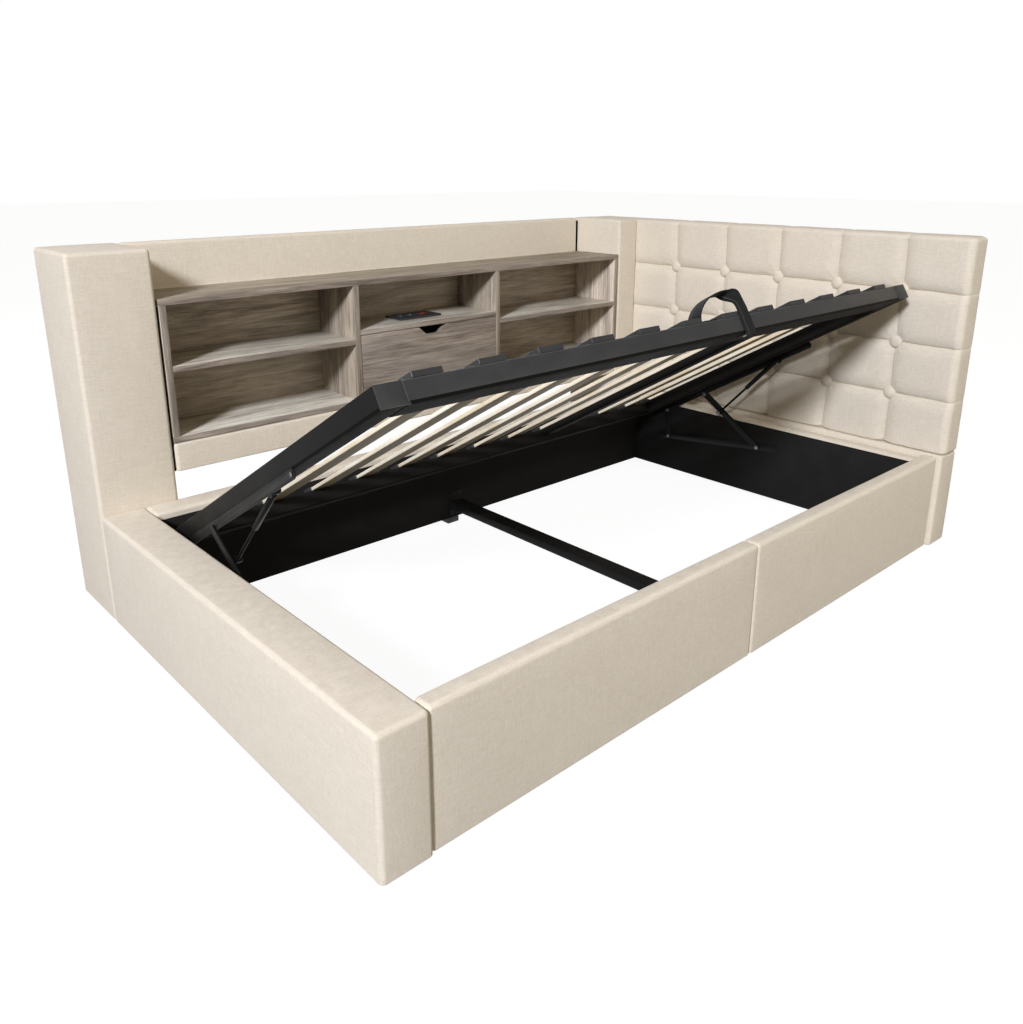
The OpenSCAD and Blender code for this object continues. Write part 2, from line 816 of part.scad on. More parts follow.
module drawer_front() {
  w = mid_bay - 2 * front_gap;
  color(oak) translate([mid_bay_x + front_gap, shelf_front + front_t, drawer_front_z]) rotate([90, 0, 0])
    linear_extrude(front_t) difference() {
      square([w, drawer_front_h]);
      translate([w / 2, drawer_front_h]) hand_notch();
    }
}

module drawer_box() {
  lo = [drawer_x0, drawer_y0, drawer_box_z];
  hi = lo + [drawer_l, drawer_d, drawer_h];
  color(oak) difference() {
    between(lo, hi);
    between(lo + [drawer_wall, drawer_wall, drawer_base_t], hi - [drawer_wall, drawer_wall, -cut]);
  }
}

// The moving rails, screwed to the drawer's sides
module drawer_slides() {
  color(steel)
    for (x = [drawer_x0 - runner_moving_w, drawer_x0 + drawer_l])
      between([x, drawer_y0, runner_z], [x + runner_moving_w, drawer_y0 + drawer_d, runner_z + runner_h]);
}

module drawer_runners() {
  color(steel)
    for (x = [mid_bay_x, divider_head_x - runner_fixed_w])
      between([x, drawer_y0, runner_z], [x + runner_fixed_w, shelf_rear, runner_z + runner_h]);
}

// Power outlet with two plain sockets, two charging ports and a rocker switch

socket_d = 30;
socket_deep = 3;
slot_deep = 12;
blade_x = 6.3;
blade = [2, 8];
earth_d = 4.8;
earth_y = -7;
socket_xs = [-56, -18];
port = [9, 3.2];
port_x = 8;
port_y = 9;
rocker_gap = 1.8;
rocker_tip = 7;
rocker_low = 4.5;
rocker_taper = 2.5;
rocker_pin_out = 2.6;

// Round recess with two blade slots and an earth hole
module socket_cut() {
  translate([0, 0, -socket_deep]) cylinder(h = socket_deep + cut, d = socket_d);
  for (x = [-blade_x, blade_x])
    translate([x - blade.x / 2, -1, -slot_deep]) cube([blade.x, blade.y, slot_deep]);
  translate([0, earth_y, -slot_deep]) cylinder(h = slot_deep, d = earth_d);
}

module outlet_plate() {
  y_mid = outlet_y0 + outlet_w / 2;
  x_mid = outlet_x0 + outlet_l / 2;
  face_z = outlet_z + outlet_t;
  slack = outlet_lip + seat_gap;
  color(black) difference() {
    union() {
      translate([outlet_x0, outlet_y0, outlet_z]) linear_extrude(outlet_t) round_rect(outlet_l, outlet_w, 6);
      between([outlet_x0 + slack, outlet_y0 + slack, outlet_z - outlet_deep],
              [outlet_x0 + outlet_l - slack, outlet_y0 + outlet_w - slack, outlet_z + outlet_t / 2]);
    }
    for (x = socket_xs) translate([x_mid + x, y_mid, face_z]) socket_cut();
    for (y = [-port_y, port_y]) translate([x_mid + port_x, y_mid + y - port.y / 2, face_z - slot_deep])
      cube([port.x, port.y, slot_deep + cut]);
    translate([rocker_x - rocker_l / 2 - rocker_gap, rocker_y - rocker_w / 2 - seat_gap, outlet_z - 8])
      cube([rocker_l + 2 * rocker_gap, rocker_w + 2 * seat_gap, outlet_t + 8 + cut]);
    translate([rocker_x, rocker_y + rocker_w / 2 + 3, rocker_z]) rotate([90, 0, 0])
      cylinder(h = rocker_w + 6, d = rocker_pin_d + 2 * pin_gap);
  }
}

// One wing lies flush while the other stands up by twice the tip angle
module outlet_rocker() {
  half = rocker_l / 2;
  flat = outlet_z + outlet_t - rocker_z;
  wing = [half * cos(2 * rocker_tip), flat + half * sin(2 * rocker_tip)];
  base = half - rocker_taper;
  color("firebrick") translate([rocker_x, rocker_y + rocker_w / 2, rocker_z]) rotate([90, 0, 0]) {
    linear_extrude(rocker_w)
      polygon([[-half, flat], [0, flat], wing, [base, -rocker_low], [-base, -rocker_low]]);
    translate([0, 0, -rocker_pin_out]) cylinder(h = rocker_w + 2 * rocker_pin_out, d = rocker_pin_d);
  }
}

// Lift mechanism, drawn once for each end

pin_head_d = 15;
pin_head_t = 2.4;
bolt_d = 11;
// Where the base plate's ends lie from its pivots
base_tip = [-68, 8];
base_tail = [30, -3];

module base_plate(side) {
  color(steel) {
    layer(side, 0, base_plate_t) bar(base_rear + base_tail, base_front + base_tip, 2 * boss_r);
    for (p = [base_rear, base_front]) {
      pin_at(side, base_plate_t, link_t + 2 * layer_gap, p, pin_d);
      pin_at(side, base_plate_t + link_t + 2 * layer_gap, pin_head_t, p, pin_head_d);
    }
  }
}

module foot_base_plate() base_plate(1);
module head_base_plate() base_plate(-1);

// Bored link; the front one carries the pins of the frame plate and of the strut
module link_bar(side, p, q, bores) {
  layer(side, link_in, link_t) difference() {
    bar(p, q, link_w);
    for (b = bores) translate(b) circle(d = pin_d + 2 * pin_gap);
  }
}

module front_link(side) {
  link_out = link_in + link_t;
  frame_pin_end = frame_in + layer_gap;
  strut_pin_end = strut_in + strut_eye_w + layer_gap;
  color(steel) {
    link_bar(side, base_front, frame_front, [base_front]);
    pin_at(side, link_out, frame_pin_end - link_out, frame_front, pin_d);
    pin_at(side, frame_pin_end, pin_head_t, frame_front, pin_head_d);
    pin_at(side, link_out, strut_pin_end - link_out, strut_foot, strut_pin_d);
    pin_at(side, strut_pin_end, pin_head_t, strut_foot, pin_head_d);
  }
}

module foot_front_link() front_link(1);
module head_front_link() front_link(-1);

module rear_link(side) {
  color(steel) {
    link_bar(side, base_rear, frame_rear, [base_rear]);
    pin_at(side, link_in - pin_head_t, pin_head_t, frame_rear, pin_head_d);
  }
}

module foot_rear_link() rear_link(1);
module head_rear_link() rear_link(-1);

// Places its children along a strut: Z from the lower pin to the upper one, X across the bed
module on_strut(side) {
  x = side > 0 ? well_foot + strut_mid : well_head - strut_mid;
  translate([x, strut_foot.x, strut_foot.y]) rotate([strut_rise - 90, 0, 0]) children();
}

module strut_eye() {
  rotate([0, 90, 0]) translate([0, 0, -strut_eye_w / 2]) cylinder(h = strut_eye_w, r = eye_r);
}

neck_l = 4;
neck_d = strut_d * 0.6;
strut_head_d = pin_head_d - 2;
bore_floor = 12;
rod_spare = 10;
cylinder_top = strut_l - eye_r - neck_l;
cylinder_end = cylinder_top - cylinder_l;
rod_inside = cylinder_l - bore_floor - rod_spare - strut_stroke;

// The cylinder hangs from the lift frame
module strut_cylinder(side) {
  bore_l = cylinder_l - bore_floor + cut;
  head_z = side > 0 ? strut_eye_w / 2 : -strut_eye_w / 2 - pin_head_t;
  color(black) on_strut(side) {
    translate([0, 0, strut_l]) {
      strut_eye();
      rotate([0, 90, 0]) translate([0, 0, head_z]) cylinder(h = pin_head_t, d = strut_head_d);
    }
    translate([0, 0, cylinder_top]) cylinder(h = neck_l + cut, d = neck_d);
    difference() {
      translate([0, 0, cylinder_end]) cylinder(h = cylinder_l, d = strut_d);
      translate([0, 0, cylinder_end - cut]) cylinder(h = bore_l, d = rod_d + 2 * pin_gap);
    }
  }
}

module foot_strut_cylinder() strut_cylinder(1);
module head_strut_cylinder() strut_cylinder(-1);

module strut_rod(side) {
  color(steel) on_strut(side) difference() {
    union() {
      strut_eye();
      cylinder(h = eye_r + neck_l, d = neck_d);
      cylinder(h = cylinder_end + rod_inside, d = rod_d);
    }
    rotate([0, 90, 0]) translate([0, 0, -strut_eye_w])
      cylinder(h = 2 * strut_eye_w, d = strut_pin_d + 2 * pin_gap);
  }
}

module foot_strut_rod() strut_rod(1);
module head_strut_rod() strut_rod(-1);

// Long plate low on the outer face of a side tube, with a lobe for each pivot and a bolt at its tip
plate_tip_l = 675;
plate_w = 23;
plate_mid = 5.5;

module frame_plate(side) {
  x = side > 0 ? well_foot + plate_in : well_head - plate_in - frame_plate_t;
  tip = [plate_w / 2 - plate_tip_l, plate_mid];
  on_frame() translate([x, 0, 0]) rotate([90, 0, 90]) linear_extrude(frame_plate_t) difference() {
    union() {
      bar(tip, [boss_r, plate_mid], plate_w);
      for (p = [[0, 0], front_eye, [-strut_top_l, 0]]) bar(p, [p.x, plate_mid], 2 * boss_r - 2);
    }
    translate(front_eye) circle(d = pin_d + 2 * pin_gap);
  }
  stub = strut_in - frame_in - seat_gap;
  inner = side > 0 ? well_foot + frame_in : well_head - frame_in - stub;
  on_frame() translate([inner, -strut_top_l, 0]) rotate([0, 90, 0]) cylinder(h = stub, d = strut_pin_d);
  nut = side > 0 ? well_foot + frame_in : well_head - frame_in - pin_head_t;
  on_frame() translate([nut, 0, 0]) rotate([0, 90, 0]) cylinder(h = pin_head_t, d = pin_head_d);
  bolt = side > 0 ? well_foot + plate_in - pin_head_t : well_head - plate_in;
  on_frame() translate([bolt, tip.x, tip.y]) rotate([0, 90, 0]) cylinder(h = pin_head_t, d = bolt_d);
}

module frame_plates() {
  color(steel) {
    frame_plate(1);
    frame_plate(-1);
  }
}

// Lift frame of welded tubes

module tube_x(x0, x1, y, z, w, h) {
  difference() {
    between([x0, y, z], [x1, y + w, z + h]);
    between([x0 - cut, y + tube_wall, z + tube_wall], [x1 + cut, y + w - tube_wall, z + h - tube_wall]);
  }
}

module tube_y(x, y0, y1, z, w, h) {
  difference() {
    between([x, y0, z], [x + w, y1, z + h]);
    between([x + tube_wall, y0 - cut, z + tube_wall], [x + w - tube_wall, y1 + cut, z + h - tube_wall]);
  }
}

module lift_front_tube() {
  color(steel) on_frame()
    tube_x(frame_x0 + side_tube_w, frame_x1 - side_tube_w, frame_y0, tube_low, front_tube_w, tube_h);
}

module lift_rear_tube() {
  y = frame_y1 - rear_tube_w;
  color(steel) on_frame()
    tube_x(frame_x0 + side_tube_w, frame_x1 - side_tube_w, y, tube_low, rear_tube_w, tube_h);
}

module lift_side_tubes() {
  color(steel) on_frame() {
    tube_y(frame_x0, frame_y0, frame_y1, tube_low, side_tube_w, tube_h);
    tube_y(frame_x1 - side_tube_w, frame_y0, frame_y1, tube_low, side_tube_w, tube_h);
  }
}

// Flat tube between the front and rear tubes, right under one slat
module lift_cross_tube() {
  color(steel) on_frame()
    tube_y(cross_x0, frame_y0 + front_tube_w, frame_y1 - rear_tube_w, tube_top - cross_h, cross_w, cross_h);
}

// The slats lie on the front and rear tubes
module slats() {
  color(pine) on_frame()
    for (i = [0:slat_n - 1]) translate([slat_x0 + i * slat_pitch, 0, tube_top])
      between([-slat_w / 2, frame_y0 + slat_end, 0], [slat_w / 2, frame_y1 - slat_end, slat_t]);
}

// Plastic cap over a slat's end, open towards the tube and along the slat
module slat_holder(l) {
  difference() {
    translate([-holder_w / 2, 0, tube_top]) cube([holder_w, l, slat_t + holder_gap + holder_wall]);
    translate([-slat_w / 2 - holder_gap, slat_end - holder_gap, tube_top - cut])
      cube([slat_w + 2 * holder_gap, l, slat_t + holder_gap + cut]);
  }
}

module front_slat_holders() {
  color(black) on_frame()
    for (i = [0:slat_n - 1]) translate([slat_x0 + i * slat_pitch, frame_y0, 0]) slat_holder(front_holder_l);
}

module rear_slat_holders() {
  color(black) on_frame()
    for (i = [0:slat_n - 1])
      translate([slat_x0 + i * slat_pitch, frame_y1, 0]) mirror([0, 1, 0]) slat_holder(rear_holder_l);
}

cap_l = 12;

// Caps in the open ends of the side tubes
module tube_caps() {
  bore_w = side_tube_w - 2 * tube_wall;
  bore_h = tube_h - 2 * tube_wall;
  color(black) on_frame()
    for (x = [frame_x0, frame_x1 - side_tube_w], y = [frame_y0, frame_y1 - cap_l])
      translate([x + tube_wall, y, tube_low + tube_wall]) cube([bore_w, cap_l, bore_h]);
}

// Pull strap: a webbing loop over the front tube. It stands across the tube at its left end, leans over
// to the right, and turns a quarter as it comes down to lie flat on the tube's front face.
strap_steps = 30;
strap_peak = 0.6;
strap_turn_l = 28;
strap_x0 = slat_x0 + floor(slat_n / 2 - 1) * slat_pitch + holder_w / 2 + strap_t;
strap_mid_y = frame_y0 + strap_in;
strap_face_y = frame_y0 - seat_gap - strap_t / 2;
strap_leg = tube_h + seat_gap + strap_t / 2;
function ease(f) = let (g = max(0, min(1, f))) g * g * (3 - 2 * g);
function strap_drop(i) = i > strap_steps ? strap_leg * (i - strap_steps) : 0;
function strap_f(i) = min(1, i / strap_steps);
// Shares of the way up to the peak and of the way down from it
function strap_up(f) = min(1, f / strap_peak);
function strap_down(f) = max(0, (f - strap_peak) / (1 - strap_peak));
function strap_x(f) = strap_x0 + (strap_l - strap_turn_l) * (1 - cos(90 * strap_up(f)))
  + strap_turn_l * sin(90 * strap_down(f));
function strap_z(f) = tube_top + strap_t / 2
  + strap_rise * pow(sin(90 * strap_up(f)), 1.2) * cos(90 * strap_down(f));
function strap_y(f) = strap_mid_y + (strap_face_y - strap_mid_y) * ease(strap_down(f) / 0.7);
function strap_centre(i) = let (f = strap_f(i)) [strap_x(f), strap_y(f), strap_z(f) - strap_drop(i)];
// Directions across the webbing's width and through its thickness
function strap_twist(f) = 90 * ease((strap_down(f) - 0.08) / 0.62);
function strap_across(f) = let (a = strap_twist(f)) cos(a) * [0, -1, 0] + sin(a) * strap_normal(f);
function strap_through(f) = let (a = strap_twist(f)) cos(a) * strap_normal(f) + sin(a) * [0, 1, 0];
function strap_normal(f) =
  let (a = max(0, f - 0.004), b = min(1, f + 0.004))
  let (v = [strap_z(a) - strap_z(b), 0, strap_x(b) - strap_x(a)]) v / norm(v);
function strap_ring(i) =
  let (c = strap_centre(i), f = strap_f(i))
  let (w = strap_across(f) * strap_w / 2, t = strap_through(f) * strap_t / 2)
  [c - w - t, c + w - t, c + w + t, c - w + t];

module strap_band() {
  n = strap_steps + 1;
  rings = [for (i = [0:n]) strap_ring(i)];
  polyhedron(
    points = [for (r = rings) for (p = r) p],
    faces = concat(
      [[0, 2, 1], [0, 3, 2]],
      [for (i = [0:n - 1], k = [0:3]) let (a = 4 * i + k, b = 4 * i + (k + 1) % 4) [a, b + 4, a + 4]],
      [for (i = [0:n - 1], k = [0:3]) let (a = 4 * i + k, b = 4 * i + (k + 1) % 4) [a, b, b + 4]],
      [[4 * n, 4 * n + 1, 4 * n + 2], [4 * n, 4 * n + 2, 4 * n + 3]]
    )
  );
}

strap_tab_l = 74;
strap_fold_l = 30;
rivet_d = 9;
rivet_h = 2;
rivet_in = 10;

module pull_strap() {
  right = strap_x0 + strap_l;
  low = tube_low - seat_gap - strap_t;
  color(black) on_frame() {
    strap_band();
    between([strap_x0 - strap_t / 2, strap_mid_y - strap_w / 2, tube_top],
            [strap_x0 + strap_tab_l, strap_mid_y + strap_w / 2, tube_top + strap_t]);
    between([right - strap_w / 2, strap_face_y - strap_t / 2, low],
            [right + strap_w / 2, frame_y0 + strap_fold_l, low + strap_t]);
  }
}

module strap_rivets() {
  rivet_x = strap_x0 + strap_tab_l / 3;
  low = tube_low - seat_gap - strap_t - rivet_h;
  color("silver") on_frame() {
    for (y = [-strap_w / 4, strap_w / 4])
      translate([rivet_x, strap_mid_y + y, tube_top + strap_t]) cylinder(h = rivet_h, d = rivet_d);
    translate([strap_x0 + strap_l, frame_y0 + strap_fold_l - rivet_in, low])
      cylinder(h = rivet_h, d = rivet_d);
  }
}

footboard_cover();
footboard_box();
head_panel_cover();
headboard_cover();
headboard_box();
tufted_pad();
tuft_buttons();
foot_column_cover();
head_column_cover();
column_boxes();
back_panel();
shelf_apron();
front_rail_foot_half();
front_rail_head_half();
back_rail();
head_ledge();
foot_liner();
head_liner();
back_liner();
base_beam();
beam_hangers();
rail_brackets();
floor_glides();
rear_middle_foot();
shelf_top();
shelf_bottom();
shelf_sides();
shelf_dividers();
shelf_board_foot();
shelf_board_middle();
shelf_board_head();
shelf_back();
drawer_front();
drawer_box();
drawer_slides();
drawer_runners();
outlet_plate();
outlet_rocker();
foot_base_plate();
head_base_plate();
foot_front_link();
head_front_link();
foot_rear_link();
head_rear_link();
foot_strut_cylinder();
head_strut_cylinder();
foot_strut_rod();
head_strut_rod();
frame_plates();
lift_front_tube();
lift_rear_tube();
lift_side_tubes();
lift_cross_tube();
slats();
front_slat_holders();
rear_slat_holders();
tube_caps();
pull_strap();
strap_rivets();
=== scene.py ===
"""Dresses the ottoman storage bed: upholstery, tufted headboard, bookshelf, lift frame and its arms."""

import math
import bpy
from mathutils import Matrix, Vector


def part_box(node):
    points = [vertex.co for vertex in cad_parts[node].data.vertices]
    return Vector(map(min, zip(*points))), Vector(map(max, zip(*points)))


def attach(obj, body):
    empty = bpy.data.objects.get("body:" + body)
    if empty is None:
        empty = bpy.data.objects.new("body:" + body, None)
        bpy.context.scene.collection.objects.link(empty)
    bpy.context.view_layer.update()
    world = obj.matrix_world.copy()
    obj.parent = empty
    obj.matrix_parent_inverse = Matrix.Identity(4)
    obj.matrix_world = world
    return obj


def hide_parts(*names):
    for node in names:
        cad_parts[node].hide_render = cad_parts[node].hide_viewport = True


bl_info = {
    "name": "Ottoman Storage Bed",
    "version": (1, 0, 0),
    "blender": (4, 5, 0),
    "location": "View3D > Sidebar > Bed",
    "description": "Upholstered storage bed with a bookshelf back and a slatted frame that lifts",
    "category": "Object",
}

import bmesh
import bpy
from bpy.props import FloatProperty, FloatVectorProperty, IntProperty, PointerProperty
from mathutils import Matrix, Vector, noise

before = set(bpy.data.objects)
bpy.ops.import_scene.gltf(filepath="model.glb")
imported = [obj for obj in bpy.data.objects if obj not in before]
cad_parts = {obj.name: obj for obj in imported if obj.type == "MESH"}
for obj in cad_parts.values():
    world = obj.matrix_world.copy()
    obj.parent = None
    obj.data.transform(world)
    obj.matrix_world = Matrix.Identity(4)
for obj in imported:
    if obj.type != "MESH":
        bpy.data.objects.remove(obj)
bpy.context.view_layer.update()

BED = "bed"
LIFT = "lift_frame"
DRAWER = "drawer"
LIFT_ANGLE = math.radians(30.2)
LEVEL_TO_RAISED = Matrix.Rotation(-LIFT_ANGLE, 4, "X")
RAISED_TO_LEVEL = Matrix.Rotation(LIFT_ANGLE, 4, "X")
QUARTER = math.radians(90)
MERGE = 2e-6
COPLANAR = math.radians(0.08)
SHARP = math.radians(32)
FACING = 0.9

LINEN_PANELS = (
    "footboard_cover", "head_panel_cover", "foot_column_cover", "head_column_cover", "back_panel",
    "shelf_apron", "front_rail_foot_half", "front_rail_head_half", "back_rail", "head_ledge",
)
FLAT_BOARDS = (
    "shelf_top", "shelf_bottom", "shelf_board_foot", "shelf_board_middle", "shelf_board_head", "shelf_back",
)
WELL = (
    (("foot_liner", "head_liner", "back_liner"), "_board", "black board", "black_board", 0.0008),
    # The well's steel takes the darker coat, painted shade.
    (("base_beam", "beam_hangers", "rail_brackets"), "_steel", "dark coat", "black_steel", 0.0007),
    (("floor_glides", "rear_middle_foot"), "_moulded", "black plastic", "black_plastic", 0.0008),
)
ARMS = (
    ("foot_base_plate", BED), ("head_base_plate", BED),
    ("foot_front_link", "foot_front_link"), ("head_front_link", "head_front_link"),
    ("foot_rear_link", "foot_rear_link"), ("head_rear_link", "head_rear_link"),
    ("frame_plates", LIFT),
)


def length(name, description, default, low, high):
    """A size in metres that can be changed in the panel."""
    return FloatProperty(
        name=name, description=description, subtype="DISTANCE", unit="LENGTH",
        default=default, min=low, max=high)


def tint(name, description, default):
    """A colour that can be changed in the panel."""
    return FloatVectorProperty(
        name=name, description=description, subtype="COLOR", size=3, default=default, min=0, max=1)


def power(name, description, default):
    """A lamp's power that can be changed in the panel."""
    return FloatProperty(
        name=name, description=description, subtype="POWER", unit="POWER",
        default=default, min=0, max=2000)


class BedCloth(bpy.types.PropertyGroup):
    """Sizes and colours of the upholstery"""

    light: tint("Light thread", "Colour of the paler threads", (0.84, 0.765, 0.635))
    dark: tint("Dark thread", "Colour of the darker threads", (0.70, 0.622, 0.50))
    edge: length("Edge radius", "Radius of the padded edges", 0.0105, 0.004, 0.03)
    base_edge: length("Lower edge radius", "Radius of the edges near the floor", 0.004, 0.002, 0.02)
    slot: length("Slot", "Slot between the back panel and the head column", 0.011, 0, 0.015)
    joint: length("Joint", "Open joint between the foot column and the bookshelf", 0.004, 0, 0.008)
    crown: length("Crown", "Rise of a panel's middle over its edges", 0.0022, 0, 0.01)


class BedTufts(bpy.types.PropertyGroup):
    """Sizes of the tufted headboard"""

    pitch: length("Pitch", "Distance between the upright seams", 0.2205, 0.15, 0.3)
    middle: length(
        "Middle seam", "Distance of the middle seam from the headboard's front end", 0.644, 0.5, 0.8)
    seams: IntProperty(name="Seams", description="Number of upright seams", default=5, min=1, max=9)
    rows: IntProperty(name="Rows", description="Number of rows of tufts", default=4, min=2, max=8)
    seam_depth: length("Seam depth", "Depth of the seams between the tufts", 0.0105, 0, 0.03)
    button_depth: length("Button depth", "Extra depth at each button", 0.007, 0, 0.03)
    wrap: length("Wrap radius", "Radius of the headboard's upright edges", 0.024, 0.01, 0.045)
    top_wrap: length("Top radius", "Radius of the headboard's top edges", 0.013, 0.006, 0.03)
    button: length("Button", "Diameter of a covered button", 0.042, 0.015, 0.06)


class BedStrap(bpy.types.PropertyGroup):
    """Sizes of the pull strap"""

    width: length("Width", "Width of the webbing", 0.042, 0.02, 0.06)
    thick: length("Thickness", "Thickness of the webbing", 0.0025, 0.001, 0.005)
    inset: length("Inset", "Distance of the standing end from the tube's face", 0.0225, 0.01, 0.04)
    gap: length("Gap", "Gap between the webbing and the tube's face", 0.0003, 0, 0.002)
    turn: length("Turn", "Length over which the loop comes down", 0.028, 0.01, 0.06)
    tab: length("Tab", "Length of the riveted tab", 0.074, 0.03, 0.1)
    fold: length("Fold", "Length folded under the tube", 0.031, 0.01, 0.05)
    peak: FloatProperty(
        name="Peak", description="Share of the loop's run before its highest point",
        default=0.6, min=0.3, max=0.8)


class BedFinishes(bpy.types.PropertyGroup):
    """Colours of the boards, the steel and the slats"""

    oak_light: tint("Oak, pale grain", "Colour between the grain lines", (0.435, 0.365, 0.30))
    oak_dark: tint("Oak, dark grain", "Colour of the grain lines", (0.116, 0.091, 0.070))
    steel: tint("Powder coat", "Colour of the coated steel", (0.031, 0.0305, 0.030))
    slat: tint("Slat", "Colour of the slats", (0.97, 0.91, 0.76))
    # Painted shade: the darker colour of the slats' undersides.
    slat_under_shade: tint("Slat, underside", "Colour of the slats' undersides, painted as shade", (0.20, 0.15, 0.075))


class BedStage(bpy.types.PropertyGroup):
    """Camera and light"""

    lens: FloatProperty(
        name="Focal length", description="Focal length on a 36 mm frame", subtype="DISTANCE_CAMERA",
        unit="CAMERA", default=31.252, min=10, max=120)
    key: power("Key light", "Power of the lamp to the left", 745)
    key_colour: tint("Key colour", "Colour of the lamps to the left and behind", (0.87, 0.90, 1.0))
    front: power("Front light", "Power of the lamp in front", 26)
    front_colour: tint("Front colour", "Colour of the lamp in front", (1.0, 0.94, 0.82))
    back: power("Back light", "Power of the lamp behind", 95)
    fill: FloatProperty(
        name="Sky", description="Strength of the even light from all around",
        default=0.30, min=0, max=5)
    warmth: tint("Sky colour", "Colour of the even light", (1.0, 0.87, 0.68))
    gloss: FloatProperty(
        name="Sky in reflections", description="Strength of the sky as glossy surfaces mirror it",
        default=0.42, min=0, max=5)
    bounce: FloatProperty(
        name="Floor bounce", description="Brightness of the floor as it lights the bed",
        default=0.12, min=0, max=1)
    paper: FloatProperty(
        name="Paper glow", description="Share of the floor's own white where it is seen",
        default=0.88, min=0, max=1)


# Materials: pitches and places in metres, colours linear

WEAVE_PITCH = 0.0021
RIB_PITCH = 0.0022
CORD_PITCH = 0.0031
PALE_LINE_PLACE = -0.0108
SLUB = (0.90, 0.86, 0.78, 1)
PORE = (0.075, 0.058, 0.046, 1)
OAK_CAST = (0.36, 0.335, 0.305)
SLAT_DEEP = (0.80, 0.72, 0.60)
PALE_LINE = (0.085, 0.085, 0.083, 1)


class Graph:
    """Short names for building a node tree."""

    def __init__(self, tree):
        self.tree = tree

    def add(self, kind, **values):
        made = self.tree.nodes.new(kind)
        for key, value in values.items():
            setattr(made, key, value)
        return made

    def join(self, out, into):
        self.tree.links.new(out, into)

    def feed(self, into, value):
        if isinstance(value, bpy.types.NodeSocket):
            self.join(value, into)
        else:
            into.default_value = value

    def math(self, operation, a, b=None, clamp=False):
        made = self.add("ShaderNodeMath", operation=operation, use_clamp=clamp)
        for slot_in, value in zip(made.inputs, (a, b)):
            if value is not None:
                self.feed(slot_in, value)
        return made.outputs[0]

    def weighed(self, *pairs):
        """The sum of some values, each times its weight."""
        total = None
        for value, weight in pairs:
            part = self.math("MULTIPLY", value, weight)
            total = part if total is None else self.math("ADD", total, part)
        return total

    def place(self):
        """Where a point lies on the piece, in metres."""
        return self.add("ShaderNodeTexCoord").outputs["Object"]

    def found(self, kind):
        return next(node for node in self.tree.nodes if node.type == kind)

    def fix(self, node, **values):
        """Feeds a node's inputs by name, with _ for a space, and gives its first output."""
        for name, value in values.items():
            self.feed(node.inputs[name.replace("_", " ")], value)
        return node.outputs[0]

    def scaled(self, vector, scale, turn=(0, 0, 0)):
        made = self.add("ShaderNodeMapping", vector_type="POINT")
        return self.fix(made, Vector=vector, Scale=scale, Rotation=turn)

    def noise(self, vector, scale, detail=3.0, rough=0.55, distortion=0.0):
        made = self.add("ShaderNodeTexNoise")
        return self.fix(
            made, Vector=vector, Scale=scale, Detail=detail, Roughness=rough, Distortion=distortion)

    def blend(self, factor, a, b):
        made = self.add("ShaderNodeMix", data_type="RGBA")
        for number, value in ((0, factor), (6, a), (7, b)):
            self.feed(made.inputs[number], value)
        return made.outputs[2]

    def mixed(self, factor, a, b):
        """One shader where the factor is 0, the other where it is 1."""
        made = self.add("ShaderNodeMixShader")
        for into, out in zip(made.inputs, (factor, a, b)):
            self.feed(into, out)
        return made.outputs[0]

    def spread(self, value, low, high, to_low=0.0, to_high=1.0):
        made = self.add("ShaderNodeMapRange")
        return self.fix(
            made, Value=value, From_Min=low, From_Max=high, To_Min=to_low, To_Max=to_high)


class Surface(Graph):
    """A new material's nodes, with its Principled shader and the bump that feeds it."""

    def __init__(self, name, colour, roughness, bump, distance, **looks):
        made = bpy.data.materials.new(name)
        made.use_nodes = True
        made.diffuse_color = (*colour, 1)
        super().__init__(made.node_tree)
        self.shader = self.found("BSDF_PRINCIPLED")
        self.relief = self.add("ShaderNodeBump")
        self.fix(self.shader, Base_Color=(*colour, 1), Roughness=roughness, **looks)
        self.fix(self.relief, Strength=bump, Distance=distance)
        self.join(self.relief.outputs[0], self.shader.inputs["Normal"])

    def cover(self, height, **looks):
        """Feeds the bump's height and what varies over the surface."""
        self.fix(self.relief, Height=height)
        self.fix(self.shader, **looks)


def texture_group(name, **inputs):
    """New node group that puts out a colour and a height: its graph, its inputs and its outputs."""
    group = bpy.data.node_groups.new(name, "ShaderNodeTree")
    for way, sockets in (("INPUT", inputs), ("OUTPUT", {"Color": "Color", "Height": "Float"})):
        for key, kind in sockets.items():
            group.interface.new_socket(name=key, in_out=way, socket_type="NodeSocket" + kind)
    g = Graph(group)
    return g, g.add("NodeGroupInput").outputs, g.add("NodeGroupOutput").inputs


